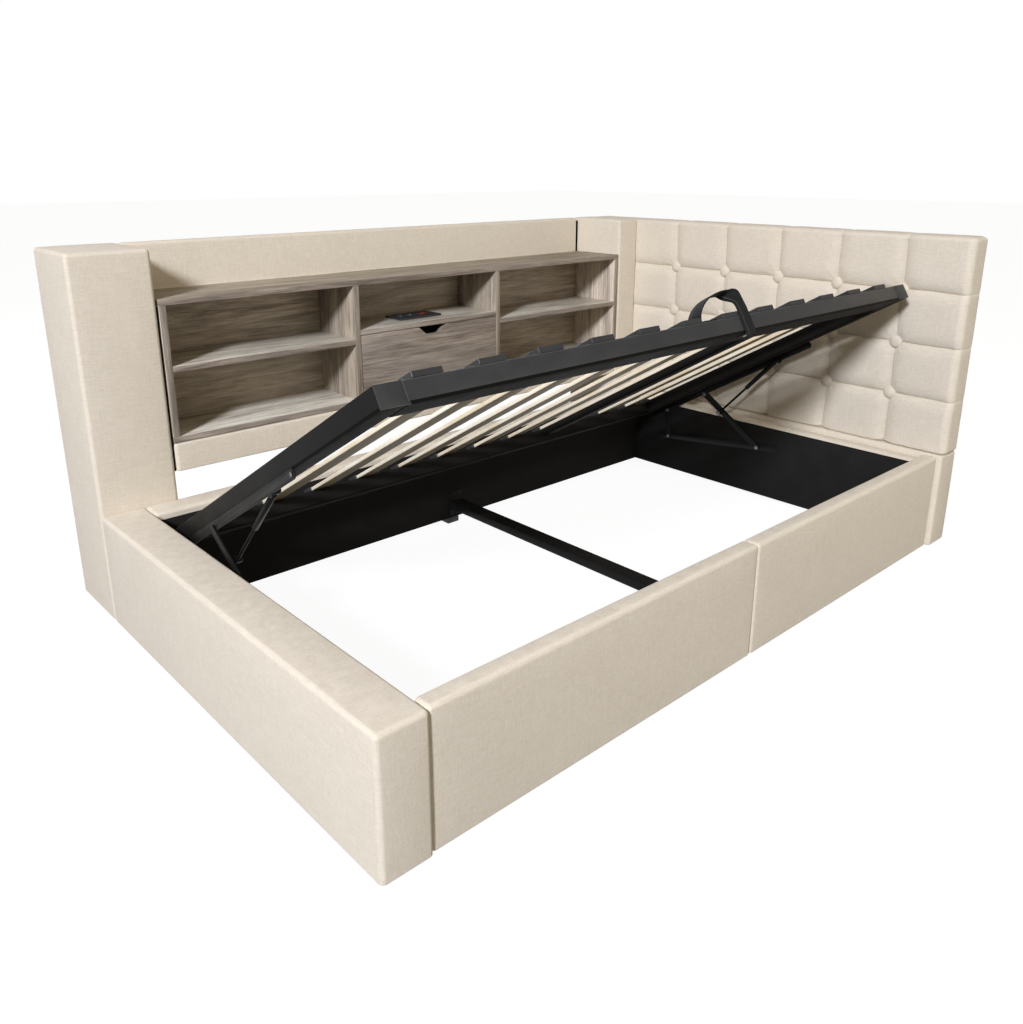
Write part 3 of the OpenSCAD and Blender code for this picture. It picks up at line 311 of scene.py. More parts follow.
def cloth_group():
    """Woven cloth on object coordinates: uneven threads both ways, and a fine weave for the bump."""
    g, give, take = texture_group("woven cloth", Light="Color", Dark="Color", Contrast="Float")
    place = g.place()
    flat_threads = g.noise(g.scaled(place, (40, 40, 620)), 1.0, 2.0, 0.6)
    tall_threads = g.noise(g.scaled(place, (560, 560, 34)), 1.0, 2.0, 0.6)
    heather = g.noise(place, 190.0, 4.0, 0.75)
    broad = g.noise(place, 9.0, 2.0, 0.5)
    threads = g.weighed((flat_threads, 0.38), (tall_threads, 0.30), (heather, 0.32))
    shade = g.spread(threads, 0.40, 0.61)
    shade = g.math("ADD", g.math("MULTIPLY", g.math("SUBTRACT", shade, 0.5), give["Contrast"]), 0.5)
    shade = g.math("ADD", shade, g.math("MULTIPLY", g.math("SUBTRACT", broad, 0.5), 0.35), clamp=True)
    colour = g.blend(shade, give["Dark"], give["Light"])
    slubs = g.noise(g.scaled(place, (95, 95, 900)), 1.0, 1.0, 0.5)
    slub_mask = g.spread(slubs, 0.66, 0.74)
    colour = g.blend(g.math("MULTIPLY", slub_mask, 0.22), colour, SLUB)
    g.join(colour, take["Color"])
    parts = g.add("ShaderNodeSeparateXYZ")
    g.join(place, parts.inputs[0])
    weave = None
    for axis in range(3):
        wave = g.math("SINE", g.math("MULTIPLY", parts.outputs[axis], 2 * math.pi / WEAVE_PITCH))
        wave = g.math("MULTIPLY", wave, wave)
        weave = wave if weave is None else g.math("ADD", weave, wave)
    g.join(g.weighed((weave, 0.20), (threads, 0.9)), take["Height"])


def grain_group():
    """Laminate oak: swaying grain bands, fine lines, short pores and a grey weathered cast."""
    g, give, take = texture_group("oak grain", Along="Vector", Light="Color", Dark="Color", Grey="Color")
    along = give["Along"]
    sway = g.noise(g.scaled(along, (1.3, 5.0, 5.0)), 1.0, 2.0, 0.5)
    bands = g.noise(g.scaled(along, (3.0, 36, 36)), 1.0, 4.0, 0.66, g.math("MULTIPLY", sway, 1.8))
    lines = g.noise(g.scaled(along, (9, 210, 210)), 1.0, 3.0, 0.65, 0.5)
    pores = g.noise(g.scaled(along, (22, 520, 520)), 1.0, 2.0, 0.5)
    tone = g.weighed((g.spread(bands, 0.36, 0.64), 0.62), (g.spread(lines, 0.36, 0.64), 0.38))
    colour = g.blend(tone, give["Dark"], give["Light"])
    pore_mask = g.math("MULTIPLY", g.spread(pores, 0.58, 0.70), 0.45)
    colour = g.blend(pore_mask, colour, PORE)
    grey = g.noise(g.scaled(along, (1.7, 9, 9)), 1.0, 2.0, 0.5)
    cast = g.math("MULTIPLY", g.spread(grey, 0.42, 0.72), 0.30)
    colour = g.blend(cast, colour, give["Grey"])
    g.join(colour, take["Color"])
    g.join(g.math("SUBTRACT", g.math("MULTIPLY", tone, 0.5), pore_mask), take["Height"])


def linen_material(cloth):
    g = Surface(
        "oatmeal linen", cloth.light, 0.92, 0.8, 0.0008, Sheen_Weight=0.12, Sheen_Roughness=0.5,
        Specular_IOR_Level=0.12)
    woven = g.add("ShaderNodeGroup", node_tree=bpy.data.node_groups["woven cloth"])
    g.fix(woven, Light=(*cloth.light, 1), Dark=(*cloth.dark, 1), Contrast=0.85)
    g.cover(woven.outputs["Height"], Base_Color=woven.outputs["Color"])


def oak_material(name, finishes, upright, pale):
    """Oak whose grain runs along the bed or upright, its colours times the shares in pale; shares above 1
    give paler copies of the same oak that paint light onto faces.
    """
    light, dark, cast = (
        (*(min(0.96, value * share) for value, share in zip(colour, pale)), 1)
        for colour in (finishes.oak_light, finishes.oak_dark, OAK_CAST))
    g = Surface(name, light[:3], 0.5, 0.25, 0.0003, Specular_IOR_Level=0.35)
    along = g.scaled(g.place(), (1, 1, 1), (0, QUARTER if upright else 0, 0))
    grain = g.add("ShaderNodeGroup", node_tree=bpy.data.node_groups["oak grain"])
    g.fix(grain, Along=along, Light=light, Dark=dark, Grey=cast)
    height = grain.outputs["Height"]
    roughness = g.spread(height, -0.2, 0.5, 0.62, 0.44)
    g.cover(height, Base_Color=grain.outputs["Color"], Roughness=roughness)


def slat_material(name, colour):
    """Sawn poplar: fine fibres across the bed and broad patches."""
    g = Surface(name, colour, 0.5, 0.2, 0.0002, Specular_IOR_Level=0.25)
    place = g.place()
    fibres = g.noise(g.scaled(place, (180, 7, 7)), 1.0, 3.0, 0.6, 0.3)
    broad = g.noise(g.scaled(place, (9, 2, 2)), 1.0, 2.0)
    tone = g.spread(g.weighed((fibres, 0.6), (broad, 0.4)), 0.36, 0.62)
    deep = (*(value * share for value, share in zip(colour, SLAT_DEEP)), 1)
    g.cover(fibres, Base_Color=g.blend(tone, deep, (*colour, 1)))


def coated_material(name, colour, roughness, gleam=0.5, grit=900.0, bump=0.10):
    """Coated or moulded surface: a fine pebble in the bump and uneven gloss."""
    g = Surface(name, colour, roughness, bump, 0.0002, Specular_IOR_Level=gleam)
    place = g.place()
    pebble = g.noise(place, grit, 2.0, 0.6)
    smudge = g.noise(place, 14.0, 3.0, 0.6)
    gloss = g.spread(smudge, 0.3, 0.7, roughness - 0.05, roughness + 0.08)
    pale = (*(min(1.0, value * 1.25 + 0.001) for value in colour), 1)
    shade = g.blend(g.spread(smudge, 0.35, 0.75), (*colour, 1), pale)
    g.cover(pebble, Base_Color=shade, Roughness=gloss)


def metal_material(name, colour, roughness):
    """Bare metal with a fine brushed unevenness."""
    g = Surface(name, colour, roughness, 0.08, 0.0001, Metallic=1.0)
    brushed = g.noise(g.place(), 420.0, 3.0, 0.6)
    g.cover(brushed, Roughness=g.spread(brushed, 0.3, 0.7, roughness - 0.06, roughness + 0.1))


def webbing_material():
    """Black webbing on the strap's own lengths, with a pale dashed line along one side."""
    g = Surface("black webbing", (0.006, 0.006, 0.006), 0.75, 0.6, 0.0005, Specular_IOR_Level=0.25)
    along, across = (
        g.add("ShaderNodeAttribute", attribute_name=name).outputs["Fac"] for name in ("along", "across"))
    ribs = g.math("SINE", g.math("MULTIPLY", along, 2 * math.pi / RIB_PITCH))
    cords = g.math("SINE", g.math("MULTIPLY", across, 2 * math.pi / CORD_PITCH))
    tone = g.spread(g.math("MULTIPLY", ribs, cords), -1.0, 1.0)
    woven = g.blend(tone, (0.0035, 0.0035, 0.0035, 1), (0.0105, 0.0102, 0.0098, 1))
    off = g.math("ABSOLUTE", g.math("SUBTRACT", across, PALE_LINE_PLACE))
    pale_line = g.math(
        "MULTIPLY", g.spread(off, 0.0006, 0.0016, 1.0, 0.0), g.spread(ribs, -1.0, 0.6, 0.55, 1.0))
    g.cover(
        g.math("MULTIPLY", g.math("ADD", ribs, cords), 0.5), Base_Color=g.blend(pale_line, woven, PALE_LINE))


def make_materials(scene):
    cloth_group()
    grain_group()
    finishes = scene.bed_finishes
    linen_material(scene.bed_cloth)
    # The divider, side, board and back finishes are paler copies of the same oak, painted light on the
    # bookshelf's faces where light falls on them.
    for name, upright, pale in (
        ("oak along", False, (1, 1, 1)),
        ("oak upright", True, (1.0, 1.0, 0.96)),
        ("oak divider", True, (1.26, 1.27, 1.20)),
        ("oak side", True, (2.15, 2.2, 2.15)),
        ("oak board", False, (2.30, 2.45, 2.48)),
        ("oak back", False, (1.22, 1.22, 1.13)),
    ):
        oak_material(name, finishes, upright, pale)
    slat_material("poplar slat", finishes.slat)
    # The slats' undersides take a darker colour, painted shade.
    slat_material("slat underside", finishes.slat_under_shade)
    coated_material("black powder coat", finishes.steel, 0.40, gleam=0.30)
    coated_material("arm paint", (0.0070, 0.0068, 0.0065), 0.42, gleam=0.14)
    coated_material("black plastic", (0.020, 0.020, 0.021), 0.5, grit=1400.0, bump=0.06)
    # A paler edge finish: a painted highlight on the front tube's rounded edges.
    coated_material("worn edge", (0.052, 0.052, 0.052), 0.40, gleam=0.30)
    # The powder coat painted darker: painted shade on the tubes behind the front one and on the well's
    # steel.
    coated_material("dark coat", (0.0095, 0.0090, 0.0083), 0.50, gleam=0.08)
    # A near-black painted shade for the tubes' undersides and the strips in the slots.
    coated_material("uncoated underside", (0.0050, 0.0046, 0.0040), 0.62, gleam=0.05)
    coated_material("black board", (0.0165, 0.0160, 0.0150), 0.75, gleam=0.04, grit=500.0)
    coated_material("strut paint", (0.0040, 0.0038, 0.0036), 0.30, gleam=0.07, grit=1500.0, bump=0.03)
    coated_material("red plastic", (0.42, 0.020, 0.014), 0.3, grit=1500.0, bump=0.03)
    coated_material("raw plywood", (0.60, 0.47, 0.31), 0.75, grit=300.0, bump=0.2)
    coated_material("white plastic", (0.72, 0.72, 0.70), 0.4, grit=1500.0, bump=0.03)
    metal_material("zinc steel", (0.56, 0.57, 0.58), 0.34)
    metal_material("pin steel", (0.20, 0.20, 0.20), 0.40)
    webbing_material()


# Shapes: a rounded edge is cut at these shares of its radius

EDGE_TURNS = tuple(1 - math.tan(math.radians(angle)) for angle in (0, 9, 18, 27, 36))
CUT_GAP = 4e-4
WAVER = 0.0007


def merged(node):
    """A copy of a CAD node with its loose triangles joined."""
    bm = bmesh.new()
    bm.from_mesh(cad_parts[node].data)
    bmesh.ops.remove_doubles(bm, verts=bm.verts, dist=MERGE)
    return bm


def node_mesh(node):
    """A merged copy of a CAD node, with its flat faces whole again."""
    bm = merged(node)
    bmesh.ops.dissolve_limit(
        bm, angle_limit=COPLANAR, use_dissolve_boundaries=False, verts=bm.verts, edges=bm.edges)
    return bm


def ease_edges(bm, width, segments=2, edges=None, bevel_finish=0):
    """Rounds the edges that turn sharply; the new faces take the piece's finish of that number."""
    if edges is None:
        edges = [e for e in bm.edges if len(e.link_faces) == 2 and e.calc_face_angle(0) > SHARP]
    made = bmesh.ops.bevel(
        bm, geom=edges, offset=width, offset_type="OFFSET", segments=segments, profile=0.5,
        affect="EDGES", clamp_overlap=True, material=-1)
    for face in made["faces"]:
        face.material_index = bevel_finish


def mark_faces(bm, marked):
    """Gives the faces that a test picks the piece's second finish."""
    for face in bm.faces:
        face.material_index = int(marked(face))


def block(bm, low, high):
    size = Vector(high) - Vector(low)
    middle = (Vector(high) + Vector(low)) / 2
    place = Matrix.Translation(middle) @ Matrix.Diagonal((*size, 1))
    bmesh.ops.create_cube(bm, size=1, matrix=place)


def box_of(points):
    """The lowest and highest corners of some points."""
    return (
        Vector(min(point[a] for point in points) for a in range(3)),
        Vector(max(point[a] for point in points) for a in range(3)))


def new_object(name, data):
    made = bpy.data.objects.new(name, data)
    bpy.context.scene.collection.objects.link(made)
    return made


def piece(name, bm, finish, body, replaced=(), sharp=SHARP, world=None):
    """Turns a bmesh into a finished piece that rides on a body."""
    if world is not None:
        bmesh.ops.transform(bm, matrix=world, verts=bm.verts)
    bmesh.ops.recalc_face_normals(bm, faces=bm.faces)
    mesh = bpy.data.meshes.new(name)
    bm.to_mesh(mesh)
    bm.free()
    mesh.polygons.foreach_set("use_smooth", [True] * len(mesh.polygons))
    mesh.set_sharp_from_angle(angle=sharp)
    finishes = finish if isinstance(finish, (list, tuple)) else [finish]
    for each in finishes:
        mesh.materials.append(bpy.data.materials[each])
    made = new_object(name, mesh)
    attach(made, body)
    if replaced:
        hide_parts(*replaced)
    return made


def dress(node, name, finish, body, width, segments=2, marked=None):
    """Replaces a hard CAD node by its own shape with eased edges and its finish."""
    bm = node_mesh(node)
    if marked:
        mark_faces(bm, marked)
    ease_edges(bm, width, segments)
    piece(name, bm, finish, body, [node])


def refinish(node, name):
    """Gives a CAD node that keeps its shape a better material."""
    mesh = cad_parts[node].data
    mesh.materials.clear()
    mesh.materials.append(bpy.data.materials[name])


def cut_loops(bm, axis, places):
    """Cuts the whole mesh across one axis at each place."""
    direction = Vector((0, 0, 0))
    direction[axis] = 1
    for place in places:
        point = Vector((0, 0, 0))
        point[axis] = place
        bmesh.ops.bisect_plane(
            bm, geom=bm.verts[:] + bm.edges[:] + bm.faces[:], dist=1e-7,
            plane_co=point, plane_no=direction)


def edge_places(low, high, radius, step, extra=()):
    """Where a rounded block is cut: close to its edges, then evenly, and at the places asked for."""
    turns = [radius * turn for turn in EDGE_TURNS]
    places = [low + turn for turn in turns] + [high - turn for turn in turns]
    inner = high - low - 2 * radius
    count = max(1, int(inner / step))
    places += [low + radius + inner * k / count for k in range(1, count)]
    places += list(extra)
    kept = []
    for place in sorted(places):
        if low + 1e-5 < place < high - 1e-5 and (not kept or place - kept[-1] > CUT_GAP):
            kept.append(place)
    return kept


def rounded(point, low, high, radius, top, base):
    """Moves a point of a block's surface onto the same block with round edges; gives it and its normal.

    The radius is that of the upright edges; the faces above and below turn over their own heights.
    """
    reach_low = Vector((radius, radius, base))
    reach_high = Vector((radius, radius, top))
    inner = Vector(min(max(point[a], low[a] + reach_low[a]), high[a] - reach_high[a]) for a in range(3))
    reach = reach_high if point.z > inner.z else reach_low
    out = Vector((point[a] - inner[a]) / reach[a] for a in range(3)).normalized()
    return inner + Vector(out[a] * reach[a] for a in range(3)), out


def padded_block(low, high, radius, step, crown, extra=((), (), ()), top=None, base=None):
    """A closed padded block: round edges, faces that rise a little and stay slightly uneven."""
    top = top or radius
    base = base or radius
    ends = [low.z + base * turn for turn in EDGE_TURNS] + [high.z - top * turn for turn in EDGE_TURNS]
    bm = bmesh.new()
    block(bm, low, high)
    for axis in range(3):
        wanted = list(extra[axis]) + (ends if axis == 2 else [])
        cut_loops(bm, axis, edge_places(low[axis], high[axis], radius, step, wanted))
    middle = (low + high) / 2
    half = (high - low) / 2
    for vert in bm.verts:
        where, out = rounded(vert.co, low, high, radius, top, base)
        rise = 0.0
        for axis in range(3):
            share = 1.0
            for other in range(3):
                if other != axis:
                    share *= 1 - min(1.0, abs(where[other] - middle[other]) / half[other]) ** 4
            rise += abs(out[axis]) ** 2 * share
        waver = noise.noise(where * 7.0) * 0.5 + noise.noise(where * 19.0) * 0.25
        vert.co = where + out * (crown * rise + WAVER * waver * min(1.0, rise * 3))
    return bm


# Stage: a lamp's power and colour properties, place and diameter; the camera's dip and turn in degrees

LAMPS = (
    ("key", "key_colour", (-6.45, -3.3, 4.4), 1.2),
    ("front", "front_colour", (1.1, -3.6, 1.0), 1.8),
    ("back", "key_colour", (2.5, 5.0, 2.3), 2.0),
)
LAMP_TARGET = Vector((0, 0, 0.35))
FLOOR_HALF = 30
FLOOR_WHITE = (0.93, 0.93, 0.93, 1)
FLOOR_GLOW = 1.07
CAMERA_PLACE = (-1.7774, -1.8038, 1.1856)
CAMERA_DIP = 16.95
CAMERA_TURN = -42.38
CAMERA_SHIFT = -0.0745


def studio_paper(stage):
    """White where the floor is seen, and darker where it lights the bed."""
    paper = bpy.data.materials.new("studio paper")
    paper.use_nodes = True
    g = Graph(paper.node_tree)
    path = g.add("ShaderNodeLightPath").outputs
    seen = g.math("MAXIMUM", path["Is Glossy Ray"], path["Is Transmission Ray"])
    seen = g.math("MAXIMUM", path["Is Camera Ray"], seen)
    bounce = (stage.bounce, stage.bounce, stage.bounce, 1)
    colour = g.blend(seen, bounce, FLOOR_WHITE)
    matt = g.fix(g.found("BSDF_PRINCIPLED"), Base_Color=colour, Roughness=1.0, Specular_IOR_Level=0.0)
    glow = g.fix(g.add("ShaderNodeEmission"), Strength=FLOOR_GLOW)
    shown = g.mixed(g.math("MULTIPLY", seen, stage.paper), matt, glow)
    g.join(shown, g.found("OUTPUT_MATERIAL").inputs["Surface"])
    return paper


def studio_world(stage):
    """A sky that lights the bed, its own strength in reflections, and plain white behind the bed."""
    world = bpy.data.worlds.new("studio")
    world.use_nodes = True
    g = Graph(world.node_tree)
    even = g.fix(g.found("BACKGROUND"), Color=(*stage.warmth, 1), Strength=stage.fill)
    mirrored = g.fix(g.add("ShaderNodeBackground"), Color=(1, 1, 1, 1), Strength=stage.gloss)
    white = g.fix(g.add("ShaderNodeBackground"), Color=(1, 1, 1, 1))
    path = g.add("ShaderNodeLightPath").outputs
    seen = g.math("MAXIMUM", path["Is Camera Ray"], path["Is Transmission Ray"])
    shown = g.mixed(seen, g.mixed(path["Is Glossy Ray"], even, mirrored), white)
    g.join(shown, g.found("OUTPUT_WORLD").inputs["Surface"])
    return world


class BED_OT_stage(bpy.types.Operator):
    """Pale floor, sky, three lamps and the camera"""

    bl_idname = "bed.stage"
    bl_label = "Stage"

    def execute(self, context):
        scene = context.scene
        stage = scene.bed_stage
        scene.view_settings.view_transform = "Standard"

        bm = bmesh.new()
        bmesh.ops.create_grid(bm, x_segments=1, y_segments=1, size=FLOOR_HALF)
        mesh = bpy.data.meshes.new("studio_floor")
        bm.to_mesh(mesh)
        bm.free()
        mesh.materials.append(studio_paper(stage))
        floor = new_object("studio_floor", mesh)
        scene.world = studio_world(stage)

        for name, colour, place, size in LAMPS:
            lamp = bpy.data.lights.new(name, "AREA")
            lamp.energy = getattr(stage, name)
            lamp.color = getattr(stage, colour)
            lamp.shape = "DISK"
            lamp.size = size
            light = new_object(name, lamp)
            facing = (LAMP_TARGET - Vector(place)).to_track_quat("-Z", "Y")
            light.matrix_world = Matrix.Translation(place) @ facing.to_matrix().to_4x4()

        camera_data = bpy.data.cameras.new("photo_camera")
        camera_data.sensor_fit = "VERTICAL"
        camera_data.sensor_height = 36
        camera_data.lens = stage.lens
        camera_data.shift_y = CAMERA_SHIFT
        camera_data.clip_end = 100
        camera = new_object("photo_camera", camera_data)
        camera.location = CAMERA_PLACE
        camera.rotation_euler = (math.radians(90 - CAMERA_DIP), 0, math.radians(CAMERA_TURN))
        scene.camera = camera
        return {"FINISHED"}


# Upholstery: the spacing of a panel's cuts, and the sizes of the black strips of painted shade in the slots

PANEL_CUTS = 0.06
THIN_PANEL = 0.04
SHADE_STRIP = 0.0025
SHADE_STRIP_DEPTH = 0.005


def slot_linings(joint):
    """Thin black strips of painted shade in the slot beside the back panel and the joint beside the foot
    column.
    """
    bm = bmesh.new()
    low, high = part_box("back_panel")
    block(
        bm, (high.x - SHADE_STRIP, low.y + SHADE_STRIP_DEPTH, low.z + 0.01),
        (high.x, high.y - 0.002, high.z - 0.012))
    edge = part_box("foot_column_cover")[1].x
    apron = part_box("shelf_apron")[0]
    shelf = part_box("shelf_sides")[1]
    block(
        bm, (edge - joint, apron.y + SHADE_STRIP_DEPTH, apron.z + 0.003),
        (edge - 0.0004, shelf.y, shelf.z - 0.002))
    ease_edges(bm, 0.0003)
    return bm


class BED_OT_panels(bpy.types.Operator):
    """Padded and covered panels, rails, columns and ledge"""

    bl_idname = "bed.panels"
    bl_label = "Upholstered panels"

    def execute(self, context):
        cloth = context.scene.bed_cloth
        for node in LINEN_PANELS:
            low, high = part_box(node)
            high.x -= {"back_panel": cloth.slot, "foot_column_cover": cloth.joint}.get(node, 0)
            thin = min(high - low)
            radius = min(cloth.edge, thin * 0.3)
            crown = cloth.crown if thin > THIN_PANEL else cloth.crown * 0.5
            bm = padded_block(low, high, radius, PANEL_CUTS, crown, base=cloth.base_edge)
            panel = piece(node.replace("_cover", "") + "_padding", bm, "oatmeal linen", BED, [node])
        # Black strips in the slots: painted shade.
        piece("slot_linings", slot_linings(cloth.joint), "uncoated underside", BED)
        for node in ("footboard_box", "headboard_box", "column_boxes"):
            refinish(node, "raw plywood")
        return {"FINISHED"}


# Headboard: each reach and width is a distance from a seam, a row or a button, in metres

SEAM_CUTS = (0.0, 0.0008, 0.0018, 0.0034, 0.006, 0.0095, 0.014, 0.020, 0.028, 0.039, 0.054, 0.075)
BACK_CUT = 0.01
HEADBOARD_CUTS = 0.030
SEAM_REACH = 0.055
ROW_REACH = 0.050
CREASE_WIDTH = 0.0024
CREASE_DEPTH = 0.0026
PIT_REACH = 0.026
PUCKERS = 10
PUCKER_RING = 0.034
PUCKER_REACH = 0.016
PUCKER_DEPTH = 0.0010
END_REACH = 0.024
END_DEPTH = 0.0020
END_CREASE_WIDTH = 0.0022
END_CREASE_DEPTH = 0.0016
TOP_DEPTH = 0.0016
PUFF = 0.0016
CALM_START = 0.004
CALM_LENGTH = 0.045
CALM_SHARE = 0.4
STRAY_REACH = 0.030
SEAM_STRAY = 0.0034
ROW_STRAY = 0.0026
BUTTON_CLEAR = 0.035
BUTTON_SINK = 0.0045
BUTTON_TILT = 0.07
BUTTON_STEPS = 28
BUTTON_PROFILE = (
    (0.0, 0.0112), (0.30, 0.0108), (0.58, 0.0094), (0.80, 0.0068), (0.94, 0.0036), (1.0, 0.0004),
    (0.96, -0.003),
)


def ease(share):
    share = max(0.0, min(1.0, share))
    return share * share * (3 - 2 * share)


def tuft_rise(distance, reach):
    """How far a tuft has risen at a distance from its seam, from 0 to 1."""
    return 1 - (1 - min(1.0, distance / reach)) ** 3


def bell(distance, reach):
    return math.exp(-(distance / reach) ** 2)


def shape_tufts(bm, tufts, low, high, pad_end, seams, rows):
    """Sinks seams, creases and button pits into the padded headboard, and lets its cloth puff and stray."""
    for vert in bm.verts:
        inner = Vector(min(max(vert.co[a], low[a] + tufts.wrap), high[a] - tufts.wrap) for a in range(3))
        out = vert.co - inner
        if out.length < 1e-6:
            continue
        out.normalize()
        front, end, upper = max(0.0, -out.x), max(0.0, -out.y), abs(out.z)
        seam = min(seams, key=lambda y: abs(vert.co.y - y))
        row = min(rows, key=lambda z: abs(vert.co.z - z))
        to_seam, to_row = abs(vert.co.y - seam), abs(vert.co.z - row)
        button = math.hypot(to_seam, to_row)
        up_seam = tuft_rise(to_seam, SEAM_REACH)
        puffed = up_seam * tuft_rise(to_row, ROW_REACH)

        crease = max(bell(to_seam, CREASE_WIDTH), bell(to_row, CREASE_WIDTH)) * CREASE_DEPTH
        pit = tufts.button_depth * bell(button, PIT_REACH)
        around = math.cos(PUCKERS * math.atan2(to_row, to_seam))
        pucker = PUCKER_DEPTH * bell(button - PUCKER_RING, PUCKER_REACH) * around
        dip = front * (tufts.seam_depth * (1 - puffed) + crease + pit + pucker)
        end_crease = bell(to_row, END_CREASE_WIDTH) * END_CREASE_DEPTH
        dip += end * (END_DEPTH * (1 - tuft_rise(to_row, END_REACH)) + end_crease)
        dip += upper * TOP_DEPTH * (1 - up_seam) * (front > 0.05 or upper > FACING)
        dip *= CALM_SHARE + (1 - CALM_SHARE) * ease((vert.co.y - low.y - CALM_START) / CALM_LENGTH)
        if vert.co.y > pad_end:
            dip *= max(0.0, 1 - (vert.co.y - pad_end) / BACK_CUT)

        waver = noise.noise(vert.co * 11.0) * 0.0011 + noise.noise(vert.co * 33.0) * 0.0004
        vert.co += out * (front * PUFF * puffed - dip + waver * (puffed if front > 0.2 else 0.4))
        stray = front * (1 - bell(button, BUTTON_CLEAR))
        sideways = noise.noise(Vector((seam * 40, vert.co.z * 10, 1)))
        vert.co.y += stray * bell(to_seam, STRAY_REACH) * SEAM_STRAY * sideways
        upwards = noise.noise(Vector((vert.co.y * 10, row * 40, 5)))
        vert.co.z += stray * bell(to_row, STRAY_REACH) * ROW_STRAY * upwards


def covered_buttons(radius, seat_x, seams, rows):
    """Domed buttons where the seams and rows cross, each tilted a little."""
    bm = bmesh.new()
    for y in seams:
        for z in rows:
            points = [bm.verts.new((-height, share * radius, 0)) for share, height in BUTTON_PROFILE]
            edges = [bm.edges.new(pair) for pair in zip(points, points[1:])]
            bmesh.ops.spin(
                bm, geom=points + edges, cent=(0, 0, 0), axis=(1, 0, 0), angle=2 * math.pi,
                steps=BUTTON_STEPS, use_merge=True)
            made = [vert for vert in bm.verts if not vert.tag]
            for vert in made:
                vert.tag = True
            tilt = noise.noise(Vector((y * 9, z * 9, 1))) * BUTTON_TILT
            place = Matrix.Translation((seat_x - BUTTON_SINK, y, z)) @ Matrix.Rotation(tilt, 4, "Y")
            bmesh.ops.transform(bm, matrix=place, verts=made)
    bmesh.ops.remove_doubles(bm, verts=bm.verts, dist=1e-5)
    holes = [edge for edge in bm.edges if len(edge.link_faces) == 1]
    bmesh.ops.holes_fill(bm, edges=holes, sides=0)
    for vert in bm.verts:
        vert.co.x += noise.noise(vert.co * 160.0) * 0.0005
    return bm


class BED_OT_headboard(bpy.types.Operator):
    """Tufted headboard whose cloth wraps round its front end"""

    bl_idname = "bed.headboard"
    bl_label = "Tufted headboard"

    def execute(self, context):
        tufts = context.scene.bed_tufts
        low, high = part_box("headboard_cover")
        low.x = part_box("head_panel_cover")[0].x
        low.z += 0.0005
        pad_low, pad_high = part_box("tufted_pad")
        first = low.y + tufts.middle
        seams = [first + (k - (tufts.seams - 1) / 2) * tufts.pitch for k in range(tufts.seams)]
        rows = [pad_low.z + (pad_high.z - pad_low.z) * k / tufts.rows for k in range(1, tufts.rows)]
        cuts = sorted({side * cut for cut in SEAM_CUTS for side in (-1, 1)})
        ys = [y + cut for y in seams for cut in cuts] + [pad_high.y - k * BACK_CUT for k in range(3)]
        zs = [z + cut for z in rows for cut in cuts]
        bm = padded_block(
            low, high, tufts.wrap, HEADBOARD_CUTS, 0.0, ((), ys, zs), tufts.top_wrap, tufts.top_wrap * 0.8)
        shape_tufts(bm, tufts, low, high, pad_high.y, seams, rows)
        pad = piece(
            "headboard_padding", bm, "oatmeal linen", BED, ["headboard_cover", "tufted_pad"],
            sharp=math.radians(60))
        seat_x = low.x + tufts.seam_depth + tufts.button_depth
        buttons = piece(
            "headboard_buttons", covered_buttons(tufts.button / 2, seat_x, seams, rows), "oatmeal linen",
            BED, ["tuft_buttons"], sharp=math.radians(70))
        return {"FINISHED"}


# Boards, drawer, outlet and well

PORTS_APART = 0.018
PORTS_OFF = 0.0125
PORTS_DOWN = 0.006
PORT_HALF = Vector((0.0036, 0.0009, 0.0048))


class BED_OT_bookshelf(bpy.types.Operator):
    """Boards, uprights and back of the bookshelf"""

    bl_idname = "bed.bookshelf"
    bl_label = "Bookshelf"

    def execute(self, context):
        # Board tops, the back and the uprights' faces along the bed take the paler oak copies, painted
        # light.
        for node in FLAT_BOARDS:
            edges = "oak back" if node == "shelf_back" else "oak along"
            upper = "oak back" if node == "shelf_top" else "oak board"
            dress(
                node, node + "_oak", (edges, upper), BED, 0.0007,
                marked=lambda face: face.normal.z > FACING)
        for node, inner in (("shelf_sides", "oak side"), ("shelf_dividers", "oak divider")):
            dress(
                node, node + "_oak", ("oak upright", inner), BED, 0.0007,
                marked=lambda face: abs(face.normal.x) > FACING)
        return {"FINISHED"}


class BED_OT_drawer(bpy.types.Operator):
    """Drawer front with its finger notch, its box and runners"""

    bl_idname = "bed.drawer"
    bl_label = "Drawer"

    def execute(self, context):
        for node, finish, body, slot_name, width in (
            ("drawer_front", "oak along", DRAWER, "oak", 0.0008),
            ("drawer_box", "oak along", DRAWER, "oak", 0.0006),
            ("drawer_slides", "zinc steel", DRAWER, "zinc_steel", 0.0008),
            ("drawer_runners", "zinc steel", BED, "zinc_steel", 0.0008),
        ):
            dress(node, node + "_made", finish, body, width)
        return {"FINISHED"}


class BED_OT_outlet(bpy.types.Operator):
    """Power outlet and its rocker switch"""

    bl_idname = "bed.outlet"
    bl_label = "Power outlet"

    def execute(self, context):
        dress("outlet_plate", "outlet_moulding", "black plastic", BED, 0.0006)
        low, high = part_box("outlet_plate")
        middle = (low + high) / 2
        bm = bmesh.new()
        for y in (-PORTS_APART / 2, PORTS_APART / 2):
            port = Vector((middle.x + PORTS_OFF, middle.y + y, high.z - PORTS_DOWN))
            block(bm, port - PORT_HALF, port + PORT_HALF)
        ease_edges(bm, 0.0003)
        piece("outlet_ports", bm, "white plastic", BED)
        dress("outlet_rocker", "outlet_switch", "red plastic", "rocker", 0.0005)
        return {"FINISHED"}


